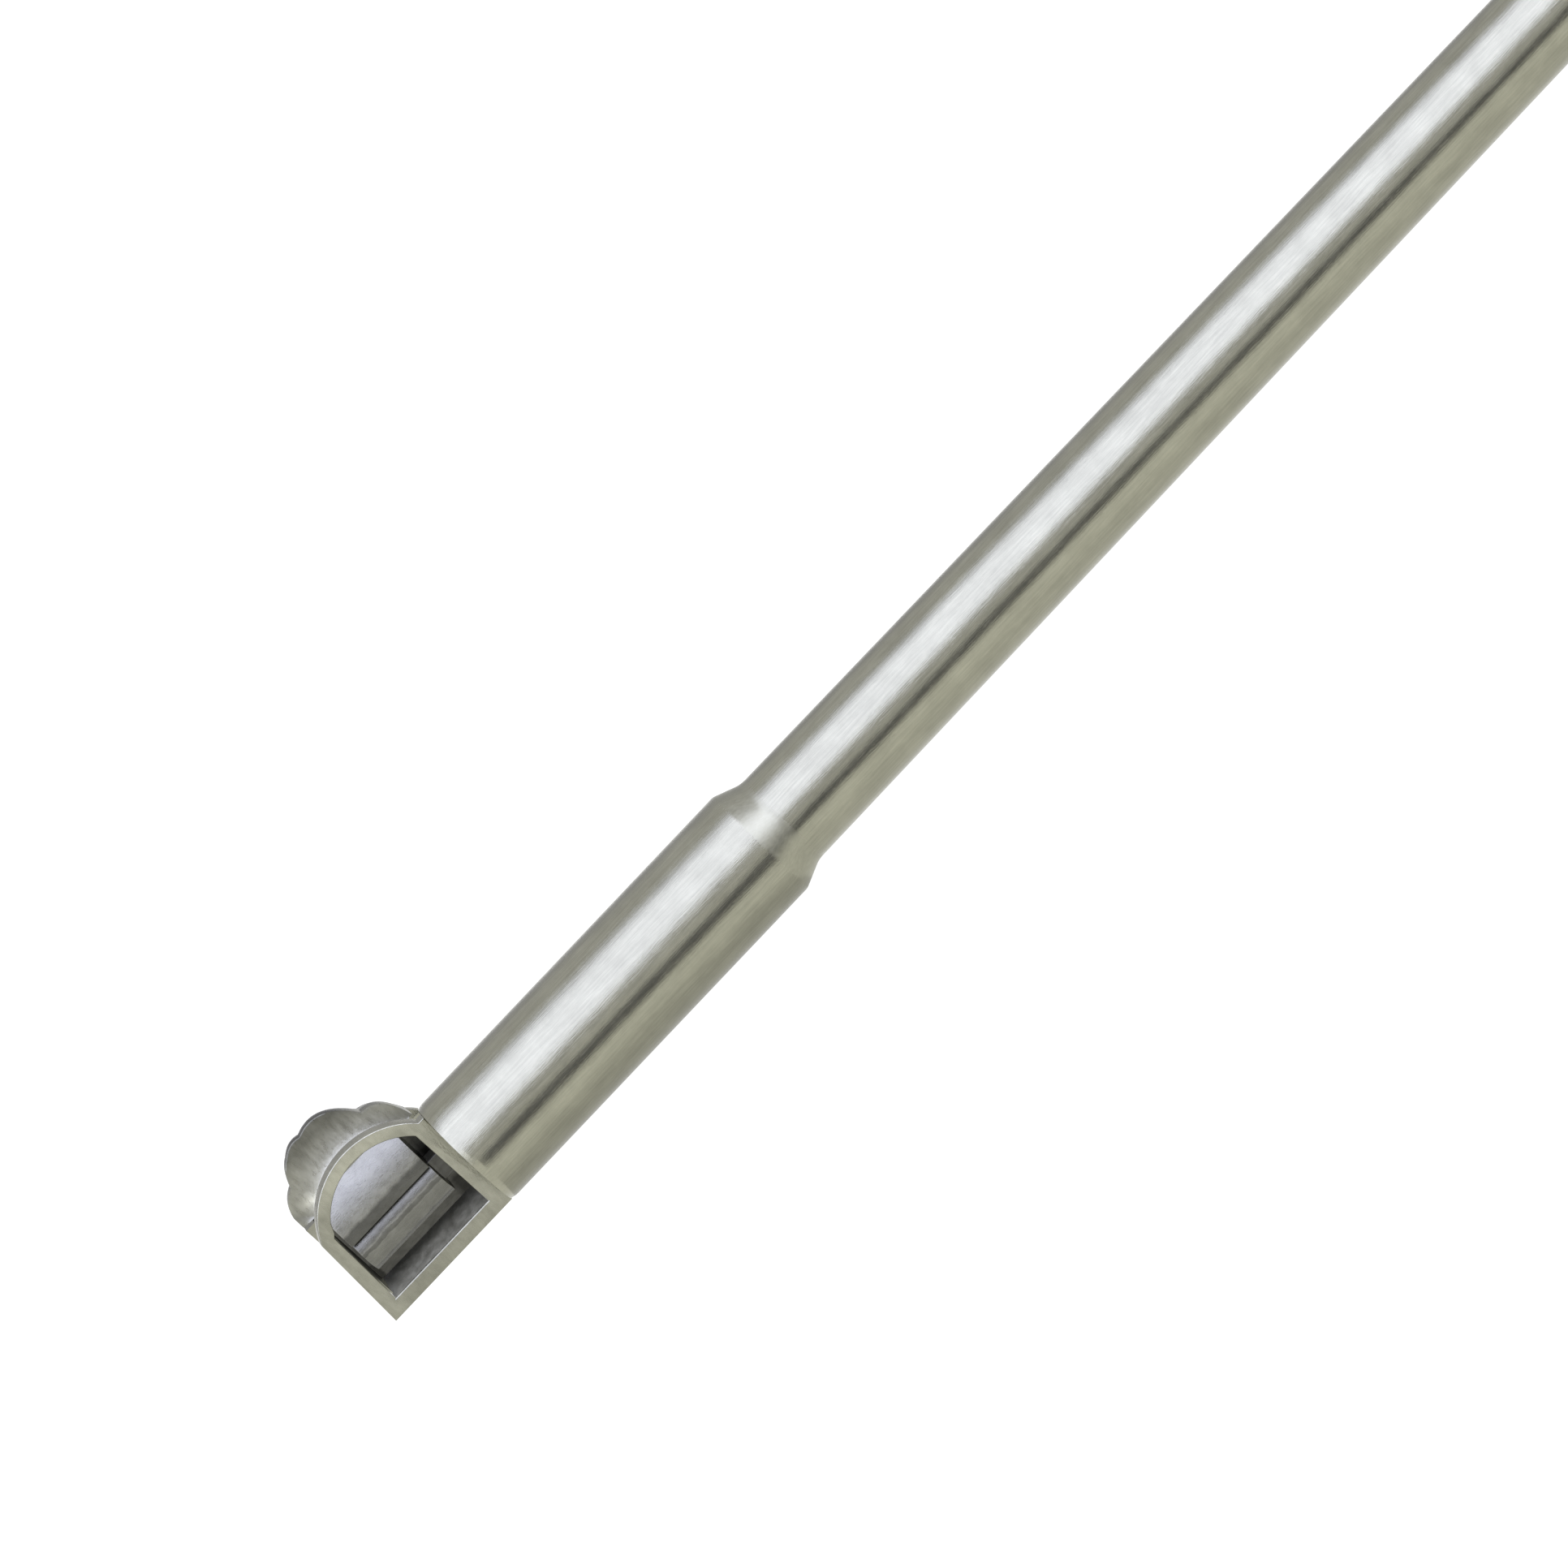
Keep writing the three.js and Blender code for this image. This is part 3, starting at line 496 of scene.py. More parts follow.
def window_outline():
    """The window's edge: a flat floor, sides that lean in, an arch and a small step at the left."""
    left = BUTT_X + WALL
    right = RIGHT_X - WALL
    floor = [(left - 0.05, FLOOR_TOP), (right, FLOOR_TOP)]
    spring_deg = math.degrees(math.acos((right - 0.06 - ARCH_CENTRE[0]) / WINDOW_RADIUS))
    arch = arc(ARCH_CENTRE, WINDOW_RADIUS, spring_deg, WINDOW_END_DEG, 56)
    step = [(left + 0.42, WINDOW_SHOULDER_Z - 0.02), (left + 0.3, 5.1), (left + 0.12, 4.92)]
    return floor + arch + step


def in_window(at):
    """Whether a point of the front face is on the window's edge and not on the outer one."""
    reach = (Vector((at.x, at.z)) - Vector(ARCH_CENTRE)).length
    inside = BUTT_X + WALL / 2 < at.x < RIGHT_X - WALL / 2 and at.z > FLOOR_TOP / 2
    return inside and (at.z < WINDOW_SHOULDER_Z or reach < (WINDOW_RADIUS + ARCH_RADIUS) / 2)


def make_head():
    rim_back = MOUTH_Y + RIM_THICKNESS
    back = COVER_FRONT_Y - FIT_GAP / 2
    behind = back + BEYOND
    slope = [(rim_back, WALL_TOP_Z), (behind, POCKET_SLOPE_Z), (behind, ABOVE), (rim_back, ABOVE)]
    slot_x = (RIGHT_X - 2, RIGHT_X + BEYOND)
    made = combined(prism("head", arch_outline(), MOUTH_Y, rim_back), [
        ("UNION", prism("walls", wall_outline(), rim_back - 0.05, back)),
        ("DIFFERENCE", prism("slope", slope, RIGHT_X - WALL - 0.05, RIGHT_X + BEYOND, "X")),
        ("DIFFERENCE", block("pocket", (BUTT_X + WALL, RIGHT_X - WALL), (rim_back, 5), (FLOOR_TOP, ABOVE))),
        ("DIFFERENCE", prism("window", window_outline(), -2, rim_back + 0.1)),
        ("DIFFERENCE", block("tang_slot", slot_x, SLOT_Y, SLOT_Z)),
    ])
    front = MOUTH_Y + 0.001
    made = bevelled(made, WINDOW_WEAR, lambda at: at.y < front and in_window(at))
    made = bevelled(made, RIM_WEAR, lambda at: at.y < front and not in_window(at))
    head = finished("head", made, HEAD_METAL)
    # The pocket's faces take the darker metals, painted shade: POCKET_METAL on its walls, FLOOR_METAL on its
    # floor.
    head.data.materials.append(POCKET_METAL)
    head.data.materials.append(FLOOR_METAL)
    low = Vector((BUTT_X + WALL - 0.01, rim_back + 0.01, FLOOR_TOP - 0.01)) * MM
    high = Vector((RIGHT_X - WALL + 0.01, BACK_Y, WALL_TOP_Z - 0.01)) * MM
    for face in head.data.polygons:
        if all(low[i] < face.center[i] < high[i] for i in range(3)):
            face.material_index = 2 if face.normal.z > 0.9 else 1
    head.visible_glossy = False  # no other piece mirrors it
    place(head, "handle", "satin_nickel", "head_frame")


def make_plug():
    """The head's round plug, which fits in the neck's bore."""
    start, end, floor = RIGHT_X - 0.02, RIGHT_X + PLUG_LENGTH, RIGHT_X + PLUG_FLOOR
    outside = end + BEYOND
    radius = SPRING_BORE_RADIUS - FIT_GAP
    bore_radius = SPRING_BORE_RADIUS - PLUG_WALL
    solid = turned("plug", rounded([(start, 0, 0), (end, 0, 0), (end, radius, 0.1), (start, radius, 0)]))
    bore = turned("bore", [(floor, 0), (outside, 0), (outside, bore_radius), (floor, bore_radius)])
    slot = block("tang_slot", (RIGHT_X - 2, outside), SLOT_Y, SLOT_Z)
    plug = combined(solid, [("DIFFERENCE", bore), ("DIFFERENCE", slot)])
    place(finished("head_plug", plug, HEAD_METAL), "handle", "satin_nickel")


# ---- cover ----
COVER_SCREWS = (1, 2, 3, 4)
SEAT_RADIUS = 0.36
SEAT_DEPTH = 0.2
SHANK_RADIUS = 0.22
SHANK_END_DEPTH = 0.15
SCREW_HEAD_RADIUS = 0.33
SCREW_HEAD_DEPTHS = (0.18, 0.02)
DRIVE_SLOT_DEPTH = 0.1
DRIVE_SLOT_REACH = 0.5
DRIVE_SLOT_HALF_WIDTH = 0.05
LINER_GAP = 0.002
LINER_TOP_Z = 5.0


def cover_screw_place(index):
    """A cover screw's tip along Y, and its centre as (x, z)."""
    low, high = box_mm(f"cover_screw_{index}")
    return low[1], ((low[0] + high[0]) / 2, (low[2] + high[2]) / 2)


def make_cover():
    plate = prism("cover", cover_outline(), COVER_FRONT_Y, BACK_Y)
    cuts = []
    for index in COVER_SCREWS:
        at = cover_screw_place(index)[1]
        cuts.append(("DIFFERENCE", pin("seat", BACK_Y - SEAT_DEPTH, BACK_Y + BEYOND, SEAT_RADIUS, at)))
    cover = finished("cover", combined(plate, cuts), HEAD_METAL)
    softened(cover, 0.06)
    place(cover, "handle", "satin_nickel", "back_cover")
    # The liner, the pocket's back wall, takes the pocket's darker metal: painted shade.
    liner = block(
        "cover_liner", (BUTT_X + WALL + LINER_GAP, RIGHT_X - WALL - LINER_GAP),
        (POCKET_BACK_Y + SLIDE_GAP, COVER_FRONT_Y - 0.005), (FLOOR_TOP + LINER_GAP, LINER_TOP_Z),
    )
    place(finished("cover_liner", liner, POCKET_METAL), "handle", "satin_nickel")


def make_cover_screw(index):
    tip, (x, z) = cover_screw_place(index)
    deep, shallow = SCREW_HEAD_DEPTHS
    shank = pin("shank", tip, BACK_Y - SHANK_END_DEPTH, SHANK_RADIUS, (x, z))
    head = pin("top", BACK_Y - deep, BACK_Y - shallow, SCREW_HEAD_RADIUS, (x, z), segments=48)
    slot = block(
        "slot", (x - DRIVE_SLOT_REACH, x + DRIVE_SLOT_REACH), (BACK_Y - DRIVE_SLOT_DEPTH, BACK_Y + BEYOND),
        (z - DRIVE_SLOT_HALF_WIDTH, z + DRIVE_SLOT_HALF_WIDTH),
    )
    made = combined(shank, [("UNION", head), ("DIFFERENCE", slot)])
    screw = finished(f"screw_{index}", made, SCREW)
    softened(screw, 0.02, 2)
    place(screw, "handle", "screw_steel", f"cover_screw_{index}")


# ---- thumb slide ----
# Lobes of the grip: each starts at a point, (distance from the butt face, height), and curves round a control
# point to the next lobe's start.
LOBES = [
    (0.26, 6.62, 0.47, 7.44),
    (1.2, 7.75, 1.51, 8.53),
    (2.02, 8.81, 2.59, 9.29),
    (3.16, 9.09, 4.7, 9.71),
    (5.9, 7.82, 7.04, 7.82),
]
HOOD_END = (7.42, HOOD_BOTTOM_Z)
# The hood's front face: distance outside the arch, and depth behind the front edge. The lobes end it.
FACE = [
    (0.0, 0.0), (0.1, 0.055), (0.3, 0.135), (0.6, 0.23), (1.0, 0.33), (1.5, 0.42), (2.1, 0.5), (2.8, 0.56),
]
FACE_ROWS = 12
FACE_SHARE = 0.95
FACE_CROWDING = 1.4
# Behind the face, the rim of a lobe: share of the way from the arch out to the lobe's edge, and added depth.
LOBE_RIM = [
    (0.993, 0.004), (0.998, 0.015), (1.0, 0.035), (1.0, 0.3), (0.985, 0.5), (0.95, 0.7), (0.9, 0.9),
    (0.83, 1.1), (0.74, 1.3),
]
RECESS_DEPTH = 1.2  # the front of the hood's underside is hollow, over the arch and the slider's lip
HOOD_DEPTH = 2.14
HOOD_BACK_SHARE = 0.62
THINNEST_AT_NECK = 0.62
THINNEST_AT_BUTT = 0.75
ARCH_LAP = 0.1


def face_depth(distance):
    """Depth of the front face at a distance outside the arch."""
    for (near, shallow), (far, deep) in zip(FACE, FACE[1:]):
        if distance <= far:
            return shallow + (deep - shallow) * (distance - near) / (far - near)
    return FACE[-1][1]


def lobe_curve(steps=26):
    """The hood's outer edge: a straight left side, then the lobes."""
    left, first_z = BUTT_X + LOBES[0][0], LOBES[0][1]
    points = [(left, HOOD_BOTTOM_Z + (first_z - HOOD_BOTTOM_Z) * k / 4) for k in range(5)]
    for i, (x0, z0, control_x, control_z) in enumerate(LOBES):
        x1, z1 = LOBES[i + 1][:2] if i + 1 < len(LOBES) else HOOD_END
        points += quadratic((BUTT_X + x0, z0), (BUTT_X + control_x, control_z), (BUTT_X + x1, z1), steps)
    return points


def arch_point(point):
    """The point just inside the arch's edge on the line from the arch's centre to a point."""
    way = Vector(point) - Vector(ARCH_CENTRE)
    reach = min(ARCH_RADIUS - ARCH_LAP, way.length * 0.93)
    at = Vector(ARCH_CENTRE) + way.normalized() * reach
    return (at.x, max(at.y, HOOD_BOTTOM_Z))


def hood_back(x):
    """How far back the hood reaches at a place along X: deep at its crown, thin towards the neck."""
    crown = ARCH_CENTRE[0]
    half = crown - BUTT_X
    share = abs(x - crown) / half
    thinnest = THINNEST_AT_NECK if x > crown else THINNEST_AT_BUTT
    return HOOD_DEPTH * (1 - (1 - thinnest) * share ** 2)


def make_thumb_slide():
    outer = lobe_curve()
    inner = [arch_point(p) for p in outer]
    full_depth = hood_back(ARCH_CENTRE[0])
    face_shares = [(i / FACE_ROWS) ** FACE_CROWDING * FACE_SHARE for i in range(FACE_ROWS + 1)]
    bm = bmesh.new()

    def depth_at(p, q, share):
        return face_depth((Vector(p) - Vector(q)).length * share)

    def between(p, q, share):
        return (q[0] + (p[0] - q[0]) * share, q[1] + (p[1] - q[1]) * share)

    def row(place_of, depth_of):
        made = []
        for p, q in zip(outer, inner):
            x, z = place_of(p, q)
            thinning = hood_back(p[0]) / full_depth
            made.append(bm.verts.new((x, PLUNGER_FRONT_Y + depth_of(p, q) * thinning, z)))
        return made

    rows = [row(lambda p, q: (q[0], HOOD_BOTTOM_Z), lambda p, q: RECESS_DEPTH + 0.05)]
    rows.append(row(lambda p, q: (q[0], q[1] + 0.01), lambda p, q: RECESS_DEPTH))
    for share in face_shares:
        rows.append(row(lambda p, q: between(p, q, share), lambda p, q: depth_at(p, q, share)))
    for share, added in LOBE_RIM:
        rows.append(row(lambda p, q: between(p, q, share), lambda p, q: depth_at(p, q, 1) + added))
    rows.append(row(lambda p, q: between(p, q, HOOD_BACK_SHARE), lambda p, q: full_depth))
    rows.append(row(lambda p, q: (q[0], HOOD_BOTTOM_Z), lambda p, q: full_depth))
    for a, b in zip(rows, rows[1:] + rows[:1]):
        for i in range(len(outer) - 1):
            bm.faces.new([a[i], a[i + 1], b[i + 1], b[i]])
    for end in (0, -1):
        bm.faces.new([r[end] for r in rows])
    bmesh.ops.remove_doubles(bm, verts=bm.verts, dist=1e-4)
    bmesh.ops.dissolve_degenerate(bm, dist=1e-4, edges=bm.edges)
    hood = finished("thumb_hood", mesh_of(bm, "thumb_hood"), HOOD_METAL, 42)
    hood.visible_glossy = False
    place(hood, "plunger", "satin_nickel", "thumb_slide")


# The slider's front: two rolls that run along the handle. The upper one ends in a flat that leans back.
UPPER_ROLL_RADIUS = 3.9
UPPER_ROLL = (PLUNGER_FRONT_Y + UPPER_ROLL_RADIUS, 3.7)
LEAN_DEG = 32
LIP_TOP_Z = 6.46
LOWER_ROLL_RADIUS = 1.22
LOWER_ROLL = (PLUNGER_FRONT_Y + 1.28, 2.88)
SLIDER_LENGTH = 6.2
LIP_DEPTH = 0.85
NOTCH_DEPTH = 0.3


def make_slider():
    low, high = box_mm("slider_block")
    left, right = low[0], BUTT_X + SLIDER_LENGTH
    top = min(high[2], HOOD_BOTTOM_Z - 0.01)
    front = arc(UPPER_ROLL, UPPER_ROLL_RADIUS, 180 - LEAN_DEG, 180, 32)
    y, z = front[0]
    lip = (y + (LIP_TOP_Z - z) * math.tan(math.radians(LEAN_DEG)), LIP_TOP_Z)
    lip_back = PLUNGER_FRONT_Y + LIP_DEPTH
    step_deg = 180 - math.degrees(math.asin((UPPER_ROLL[1] - LOWER_ROLL[1]) / LOWER_ROLL_RADIUS))
    lower = arc(LOWER_ROLL, LOWER_ROLL_RADIUS, step_deg, 270, 28)
    notch = [(PLUNGER_FRONT_Y + NOTCH_DEPTH, UPPER_ROLL[1] + 0.02)]
    back = [(POCKET_BACK_Y, LOWER_ROLL[1] - LOWER_ROLL_RADIUS), (POCKET_BACK_Y, top)]
    outline = [(lip_back, top), (lip_back, LIP_TOP_Z), lip] + front + notch + lower + back
    body = prism("slider", outline, left, right, "X")
    slider = finished("slider", body, SLIDER_METAL)
    softened(slider, 0.05)
    place(slider, "plunger", "polished_steel", "slider_block")
    # The tang takes the pocket's darker metal: painted shade in its slot.
    tang = finished("slider_tang", block("tang", (right - 0.01, high[0]), TANG_Y, TANG_Z), POCKET_METAL)
    softened(tang, 0.05)
    place(tang, "plunger", "polished_steel")


# ---- handle ----
def make_handle_tube():
    seat_end = box_mm("spring_seat")[1][0] + FIT_GAP
    rear = tube_low[0]
    profile = rounded([
        (rear, SPRING_BORE_RADIUS, 0.05),
        (seat_end, SPRING_BORE_RADIUS, 0),
        (seat_end, ROD_BORE_RADIUS, 0),
        (ROD_END_X, ROD_BORE_RADIUS, 0.05),
        (ROD_END_X, ROD_RADIUS_FRONT, 0.1),
        (CONE_END_X, ROD_RADIUS_REAR, 0.25),
        (NECK_END_X, NECK_RADIUS, 0.14),
        (rear + 0.3, NECK_RADIUS, 0.1),
        (rear, NECK_RADIUS - 0.07, 0),
    ], steps=6)
    tube = finished("tube", turned("tube", profile, 128), SATIN, 40)
    place(tube, "handle", "satin_nickel", "handle_tube")


KNURL_DEPTH = 0.09
KNURL_COUNT = 36
NOSE_BACK_LENGTH = 2
NOSE_CONE_START = 16
BAND_MARGIN = 2.5
GROOVE_DEPTH = 0.15
NOSE_MOUTH_RADIUS = 1.86
COLLET_BORE_RADIUS = 1.75
THROAT_RADIUS = 1.403
THROAT = (3.8, 1.8)  # from the nose's front
COLLET_BORE_END = 4.2  # from the nose's front


def make_nose():
    back = nose_low[0]
    front = nose_high[0]
    cylinder, cone = back + NOSE_BACK_LENGTH, back + NOSE_CONE_START
    band = (cylinder + BAND_MARGIN, cone - BAND_MARGIN)
    socket = ROD_RADIUS_FRONT + 0.08
    groove = NECK_RADIUS - GROOVE_DEPTH
    outer = rounded([
        (front, NOSE_MOUTH_RADIUS, 0),
        (front, 2.25, 0.2),
        (cone, NECK_RADIUS, 0.8),
        (band[1] + 0.6, NECK_RADIUS, 0.05),
        (band[1] + 0.45, groove, 0.03),
        (band[1] + 0.15, groove, 0.03),
        (band[1], NECK_RADIUS, 0),
    ], closed=False)
    knurled = [(band[1] - (band[1] - band[0]) * k / 72, NECK_RADIUS) for k in range(1, 72)]
    rear = rounded([
        (band[0], NECK_RADIUS, 0),
        (band[0] - 0.15, groove, 0.03),
        (band[0] - 0.45, groove, 0.03),
        (band[0] - 0.6, NECK_RADIUS, 0.05),
        (cylinder, NECK_RADIUS, 0.3),
        (back, socket + 0.3, 0.1),
        (back, socket, 0),
    ], closed=False)
    bore = [
        (ROD_END_X + FIT_GAP, socket), (ROD_END_X + FIT_GAP, COLLET_BORE_RADIUS),
        (front - COLLET_BORE_END, COLLET_BORE_RADIUS),
        (front - THROAT[0], THROAT_RADIUS), (front - THROAT[1], THROAT_RADIUS),
    ]

    def knurl(x, a):
        """Depth of the diamond knurl at a place along the band and an angle round it."""
        if not band[0] < x < band[1]:
            return 0.0
        pitch = 2 * math.pi * NECK_RADIUS / KNURL_COUNT
        around = a * NECK_RADIUS / pitch
        run = (x - band[0]) / pitch
        first = abs((around + run) % 1 - 0.5) * 2
        second = abs((around - run) % 1 - 0.5) * 2
        edge = min(1.0, (x - band[0]) / 0.3, (band[1] - x) / 0.3)
        return KNURL_DEPTH * edge * max(first, second) ** 2

    mesh = turned("nose", outer + knurled + rear + bore, KNURL_COUNT * 6, relief=knurl)
    place(finished("nose", mesh, SATIN, 55), "handle", "satin_nickel", "nose_sleeve")


# ---- wire loop ----
def swept(name, path, radius, sides=14):
    """A round wire along a list of points, with flat ends."""
    points = [Vector(p) for p in path]
    bm = bmesh.new()
    normal = None
    rings = []
    for i, p in enumerate(points):
        before = points[max(i - 1, 0)]
        after = points[min(i + 1, len(points) - 1)]
        tangent = (after - before).normalized()
        if normal is None:
            normal = tangent.orthogonal().normalized()
        normal = (normal - tangent * normal.dot(tangent)).normalized()
        side = tangent.cross(normal)
        ring = []
        for k in range(sides):
            a = 2 * math.pi * k / sides
            ring.append(bm.verts.new(p + (normal * math.cos(a) + side * math.sin(a)) * radius))
        rings.append(ring)
    for a, b in zip(rings, rings[1:]):
        for k in range(sides):
            j = (k + 1) % sides
            bm.faces.new([a[k], a[j], b[j], b[k]])
    bm.faces.new(rings[0])
    bm.faces.new(rings[-1])
    return mesh_of(bm, name)


WIRE_RADIUS = 0.23
LOOP_RADIUS = 1.75
LOOP_START_DEG = 10
LOOP_SWEEP_DEG = 340
LOOP_NECK = 0.35
TWIST_LENGTH = 5.0
TWIST_TURNS = 4
TWIST_RADIUS = WIRE_RADIUS * 1.02


def make_loop_wire():
    low, high = box_mm("loop_wire")
    centre_x = high[0] - LOOP_RADIUS - WIRE_RADIUS
    root = centre_x - LOOP_RADIUS - LOOP_NECK
    twist_start = root - TWIST_LENGTH
    path = [(low[0] + (twist_start - 0.6 - low[0]) * i / 40, 0.0, AXIS_Z) for i in range(41)]

    def strand(x, phase):
        share = (x - twist_start) / TWIST_LENGTH
        a = phase + 2 * math.pi * TWIST_TURNS * share
        return (x, TWIST_RADIUS * math.cos(a), AXIS_Z + TWIST_RADIUS * math.sin(a))

    path += [strand(twist_start + TWIST_LENGTH * i / 80, 0.0) for i in range(81)]
    for i in range(1, 73):
        a = math.radians(LOOP_START_DEG) + math.radians(LOOP_SWEEP_DEG) * i / 72
        path.append((centre_x - LOOP_RADIUS * math.cos(a), LOOP_RADIUS * math.sin(a), AXIS_Z))
    path += [strand(twist_start + TWIST_LENGTH * (1 - i / 80), math.pi) for i in range(0, 79)]
    place(finished("wire", swept("wire", path, WIRE_RADIUS), WIRE, 60), "loop", "nichrome_wire", "loop_wire")


LOOP_SHANK_RADIUS = 0.5
CRIMP_RADIUS = 0.4


def make_shank():
    """The loop's shank and the crimped ferrule on its front end."""
    full, crimp = LOOP_SHANK_RADIUS, CRIMP_RADIUS
    low, high = box_mm("loop_shank")
    profile = rounded([
        (low[0], 0, 0), (low[0], 0.3, 0.05), (low[0] + 0.3, full, 0.1),
        (high[0], full, 0.05), (high[0], 0, 0),
    ], closed=False)
    place(finished("shank", turned("shank", profile, 48), INNER), "loop", "polished_steel", "loop_shank")
    low, high = box_mm("wire_ferrule")
    profile = rounded([
        (low[0], WIRE_RADIUS + 0.02, 0), (low[0], full, 0.06), (low[0] + 0.9, full, 0.1),
        (low[0] + 1.0, crimp, 0.1), (low[0] + 1.3, crimp, 0.1), (low[0] + 1.4, full, 0.1),
        (high[0] - 0.8, full, 0.2), (high[0], WIRE_RADIUS + 0.1, 0.04), (high[0], WIRE_RADIUS + 0.02, 0),
    ])
    ferrule = finished("ferrule", turned("ferrule", profile, 48), INNER)
    place(ferrule, "loop", "polished_steel", "wire_ferrule")


SPRING_TURNS = 9
SPRING_RADIUS = 1.65
SPRING_WIRE_RADIUS = 0.25


def make_spring():
    low, high = box_mm("return_spring")
    wire = SPRING_WIRE_RADIUS
    path = []
    count = SPRING_TURNS * 28
    for i in range(count + 1):
        t = i / count
        a = 2 * math.pi * SPRING_TURNS * t
        x = low[0] + wire + (high[0] - low[0] - 2 * wire) * t
        path.append((x, SPRING_RADIUS * math.cos(a), AXIS_Z + SPRING_RADIUS * math.sin(a)))
    spring = finished("spring", swept("spring", path, wire, 12), SPRING, 60)
    place(spring, "handle", "spring_steel", "return_spring")
    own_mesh(spring)


def dress_nodes():
    """Materials and edge modifiers for the CAD nodes that show; their meshes stay as they are."""
    finishes = {
        "head_pin": SCREW, "spring_seat": BRASS, "guide_bush_rear": BRASS, "guide_bush_front": BRASS,
        "drive_disc": BRASS, "tang_screw": SCREW, "rod_nut": BRASS, "draw_rod": INNER, "collet_body": BRASS,
        "slide_screw_1": SCREW, "slide_screw_2": SCREW,
        "collet_jaw_1": INNER, "collet_jaw_2": INNER, "collet_jaw_3": INNER,
    }
    for name, material in finishes.items():
        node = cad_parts[name]
        node.data.materials.clear()
        node.data.materials.append(material)
        softened(node, 0.03, 2, 50)


# ---- floor, camera and light ----
VIEW_WIDTH = 71.56 * MM
ELEVATION = math.radians(20)
ROLL = math.radians(46.5)
LENS = 200.0
SENSOR = 36.0
LOOK_AT_X = 30.0
LOOK_UP = 1.05


def make_camera():
    right = Vector((1, 0, 0))
    up = Vector((0, math.sin(ELEVATION), math.cos(ELEVATION)))
    back = Vector((0, -math.cos(ELEVATION), math.sin(ELEVATION)))
    image_right = right * math.cos(ROLL) - up * math.sin(ROLL)
    image_up = right * math.sin(ROLL) + up * math.cos(ROLL)
    target = Vector((BUTT_X + LOOK_AT_X, 0, AXIS_Z)) * MM + up * LOOK_UP * MM
    camera = bpy.data.objects.new("camera", bpy.data.cameras.new("camera"))
    bpy.context.scene.collection.objects.link(camera)
    camera.data.lens = LENS
    camera.data.sensor_width = SENSOR
    camera.data.clip_start = 0.001
    camera.data.clip_end = 20
    place_at = target + back * (VIEW_WIDTH * LENS / SENSOR)
    basis = Matrix((image_right, image_up, back)).transposed().to_4x4()
    camera.matrix_world = Matrix.Translation(place_at) @ basis
    bpy.context.scene.camera = camera


def make_floor():
    bpy.ops.mesh.primitive_plane_add(size=3.0, location=(0, 0, 0))
    floor = bpy.context.object
    floor.name = "floor"
    mat = bpy.data.materials.new("paper")
    mat.use_nodes = True
    shader = mat.node_tree.nodes["Principled BSDF"]
    shader.inputs["Base Color"].default_value = (0.1, 0.1, 0.1, 1)
    shader.inputs["Roughness"].default_value = 1.0
    shader.inputs["Specular IOR Level"].default_value = 0.0
    shader.inputs["Emission Color"].default_value = (1, 1, 1, 1)
    shader.inputs["Emission Strength"].default_value = 1.0
    floor.data.materials.append(mat)


def glow_card(name, color, strength, rows):
    """A card seen only in reflections, through rows of points that each hold its left and right edge."""
    mesh = bpy.data.meshes.new(name)
    verts = [point for row in rows for point in row]
    faces = [(2 * i, 2 * i + 1, 2 * i + 3, 2 * i + 2) for i in range(len(rows) - 1)]
    mesh.from_pydata(verts, [], faces)
    card = bpy.data.objects.new(name, mesh)
    bpy.context.scene.collection.objects.link(card)
    mat = bpy.data.materials.new(name)
    mat.use_nodes = True
    tree = mat.node_tree
    tree.nodes.clear()
    glow = tree.nodes.new("ShaderNodeEmission")
    glow.inputs["Color"].default_value = (*color, 1)
    glow.inputs["Strength"].default_value = strength
    out = tree.nodes.new("ShaderNodeOutputMaterial")
    tree.links.new(glow.outputs["Emission"], out.inputs["Surface"])
    mesh.materials.append(mat)
    card.visible_camera = False
    card.visible_diffuse = False
    card.visible_shadow = False
    card.visible_transmission = False


def bowed_rows(distance, x, elevation_deg, steps=24):
    """Rows of a card that bows over the object at one distance, between two elevations."""
    path = arc((0.0, 0.0), distance, 180 - elevation_deg[0], 180 - elevation_deg[1], steps)
    return [((x[0], y, z), (x[1], y, z)) for y, z in path]


def upright_rows(y, x, z):
    return [((x[0], y, height), (x[1], y, height)) for height in z]


def flat_rows(z, x, y):
    return [((x[0], depth, z), (x[1], depth, z)) for depth in y]


# Tones of the cards, and their places in metres.
ROOM_TONE = (0.85, 0.85, 0.92)
SOFTBOX_TONE = (0.733, 0.758, 1.0)
BOW_RADIUS = 0.8
SOFTBOX_X = (-1.2, 0.4)
CONE_CARD_X = (0.42, 1.0)
BACK_WALL_X = (-1.2, 1.4)
CARDS_END_X = 0.3
SIDE_CARD_Y = (-1.4, -0.2)
# The shades lie on the floor in front of the handle and under it, in millimetres, each darker than the last.
SHADES = 8
SHADE_Z = 0.03
SHADE_START_Y = -5.2
SHADE_SPAN = 2.4
SHADE_END_Y = 10.0


def make_shades(neck_start, step_x):
    """Thin cards on the floor, seen only in reflections, that paint shade under the handle into what the neck
    and the rod mirror of the floor.
    """
    edges = [SHADE_START_Y + SHADE_SPAN * k / (SHADES - 1) for k in range(SHADES)] + [SHADE_END_Y]
    for k in range(SHADES):
        share = k / (SHADES - 1)
        strip = (edges[k] * MM, edges[k + 1] * MM)
        neck_rows = flat_rows(SHADE_Z * MM, (neck_start, step_x), strip)
        rod_rows = flat_rows(SHADE_Z * MM, (step_x, CARDS_END_X), strip)
        glow_card(f"neck_shade_{k}", (1, 1, 1), 1.15 - 0.4 * share, neck_rows)
        glow_card(f"rod_shade_{k}", (1, 1, 1), 1.2 - 0.2 * share, rod_rows)


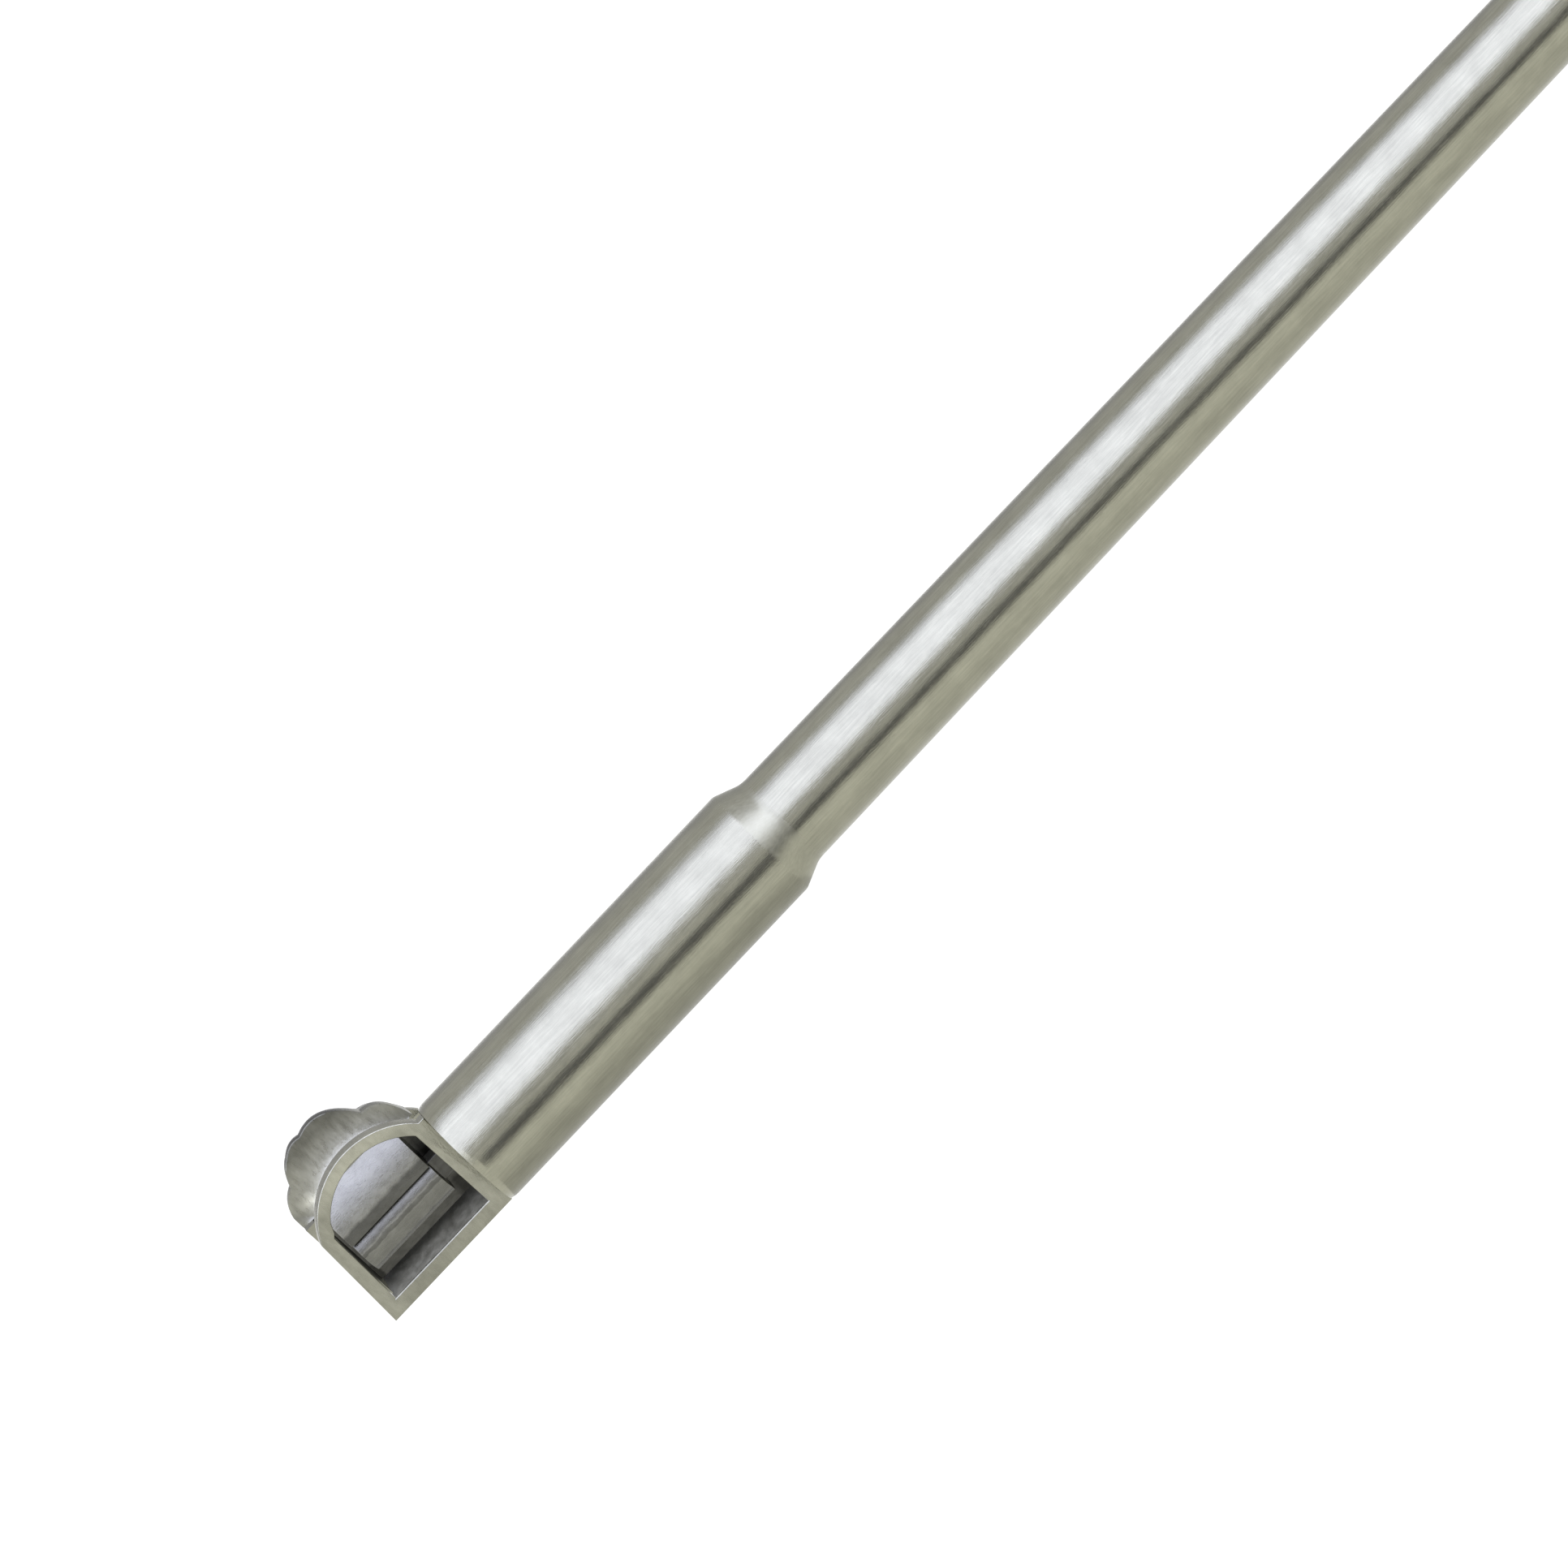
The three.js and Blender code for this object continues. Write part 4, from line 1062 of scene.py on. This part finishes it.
def make_lights():
    world = bpy.data.worlds.new("room")
    bpy.context.scene.world = world
    world.use_nodes = True
    world.node_tree.nodes["Background"].inputs["Color"].default_value = (*ROOM_TONE, 1)
    world.node_tree.nodes["Background"].inputs["Strength"].default_value = 1.0
    key = bpy.data.lights.new("key", "AREA")
    key.shape = "RECTANGLE"
    key.size = 1.6
    key.size_y = 1.2
    key.energy = 17
    lamp = bpy.data.objects.new("key", key)
    bpy.context.scene.collection.objects.link(lamp)
    lamp.location = (0.1, -0.25, 0.9)
    lamp.rotation_euler = Vector((0, 0.25, -0.9)).to_track_quat("-Z", "Y").to_euler()
    lamp.visible_glossy = False
    softbox_rows = bowed_rows(BOW_RADIUS, SOFTBOX_X, (27, 88))
    glow_card("softbox", SOFTBOX_TONE, 3.59, softbox_rows)
    glow_card("softbox_edge", SOFTBOX_TONE, 2.2, bowed_rows(BOW_RADIUS, SOFTBOX_X, (88, 100), 4))
    glow_card("cone_card", SOFTBOX_TONE, 5.0, bowed_rows(BOW_RADIUS, CONE_CARD_X, (25, 76)))
    glow_card("back_wall", ROOM_TONE, 0.7, bowed_rows(BOW_RADIUS, BACK_WALL_X, (148, 179), 8))
    neck_start = (RIGHT_X + 0.15) * MM
    flag_rows = upright_rows(-6 * MM, (neck_start, CARDS_END_X), (1.6 * MM, 3.25 * MM))
    glow_card("flag", (0.9, 0.9, 1.0), 0.25, flag_rows)
    make_shades(neck_start, (NECK_END_X + CONE_END_X) / 2 * MM)
    near, far = SIDE_CARD_Y
    side_rows = [((-0.85, near, 0.12), (-0.85, far, 0.12)), ((-0.75, near, 0.55), (-0.75, far, 0.55))]
    glow_card("side_card", (0.85, 0.87, 1.0), 3.0, side_rows)


make_camera()
make_head()
make_plug()
make_cover()
for number in COVER_SCREWS:
    make_cover_screw(number)
make_thumb_slide()
make_slider()
make_handle_tube()
make_nose()
make_loop_wire()
make_shank()
make_spring()
dress_nodes()
make_floor()
make_lights()
bpy.context.scene.view_settings.view_transform = "Standard"
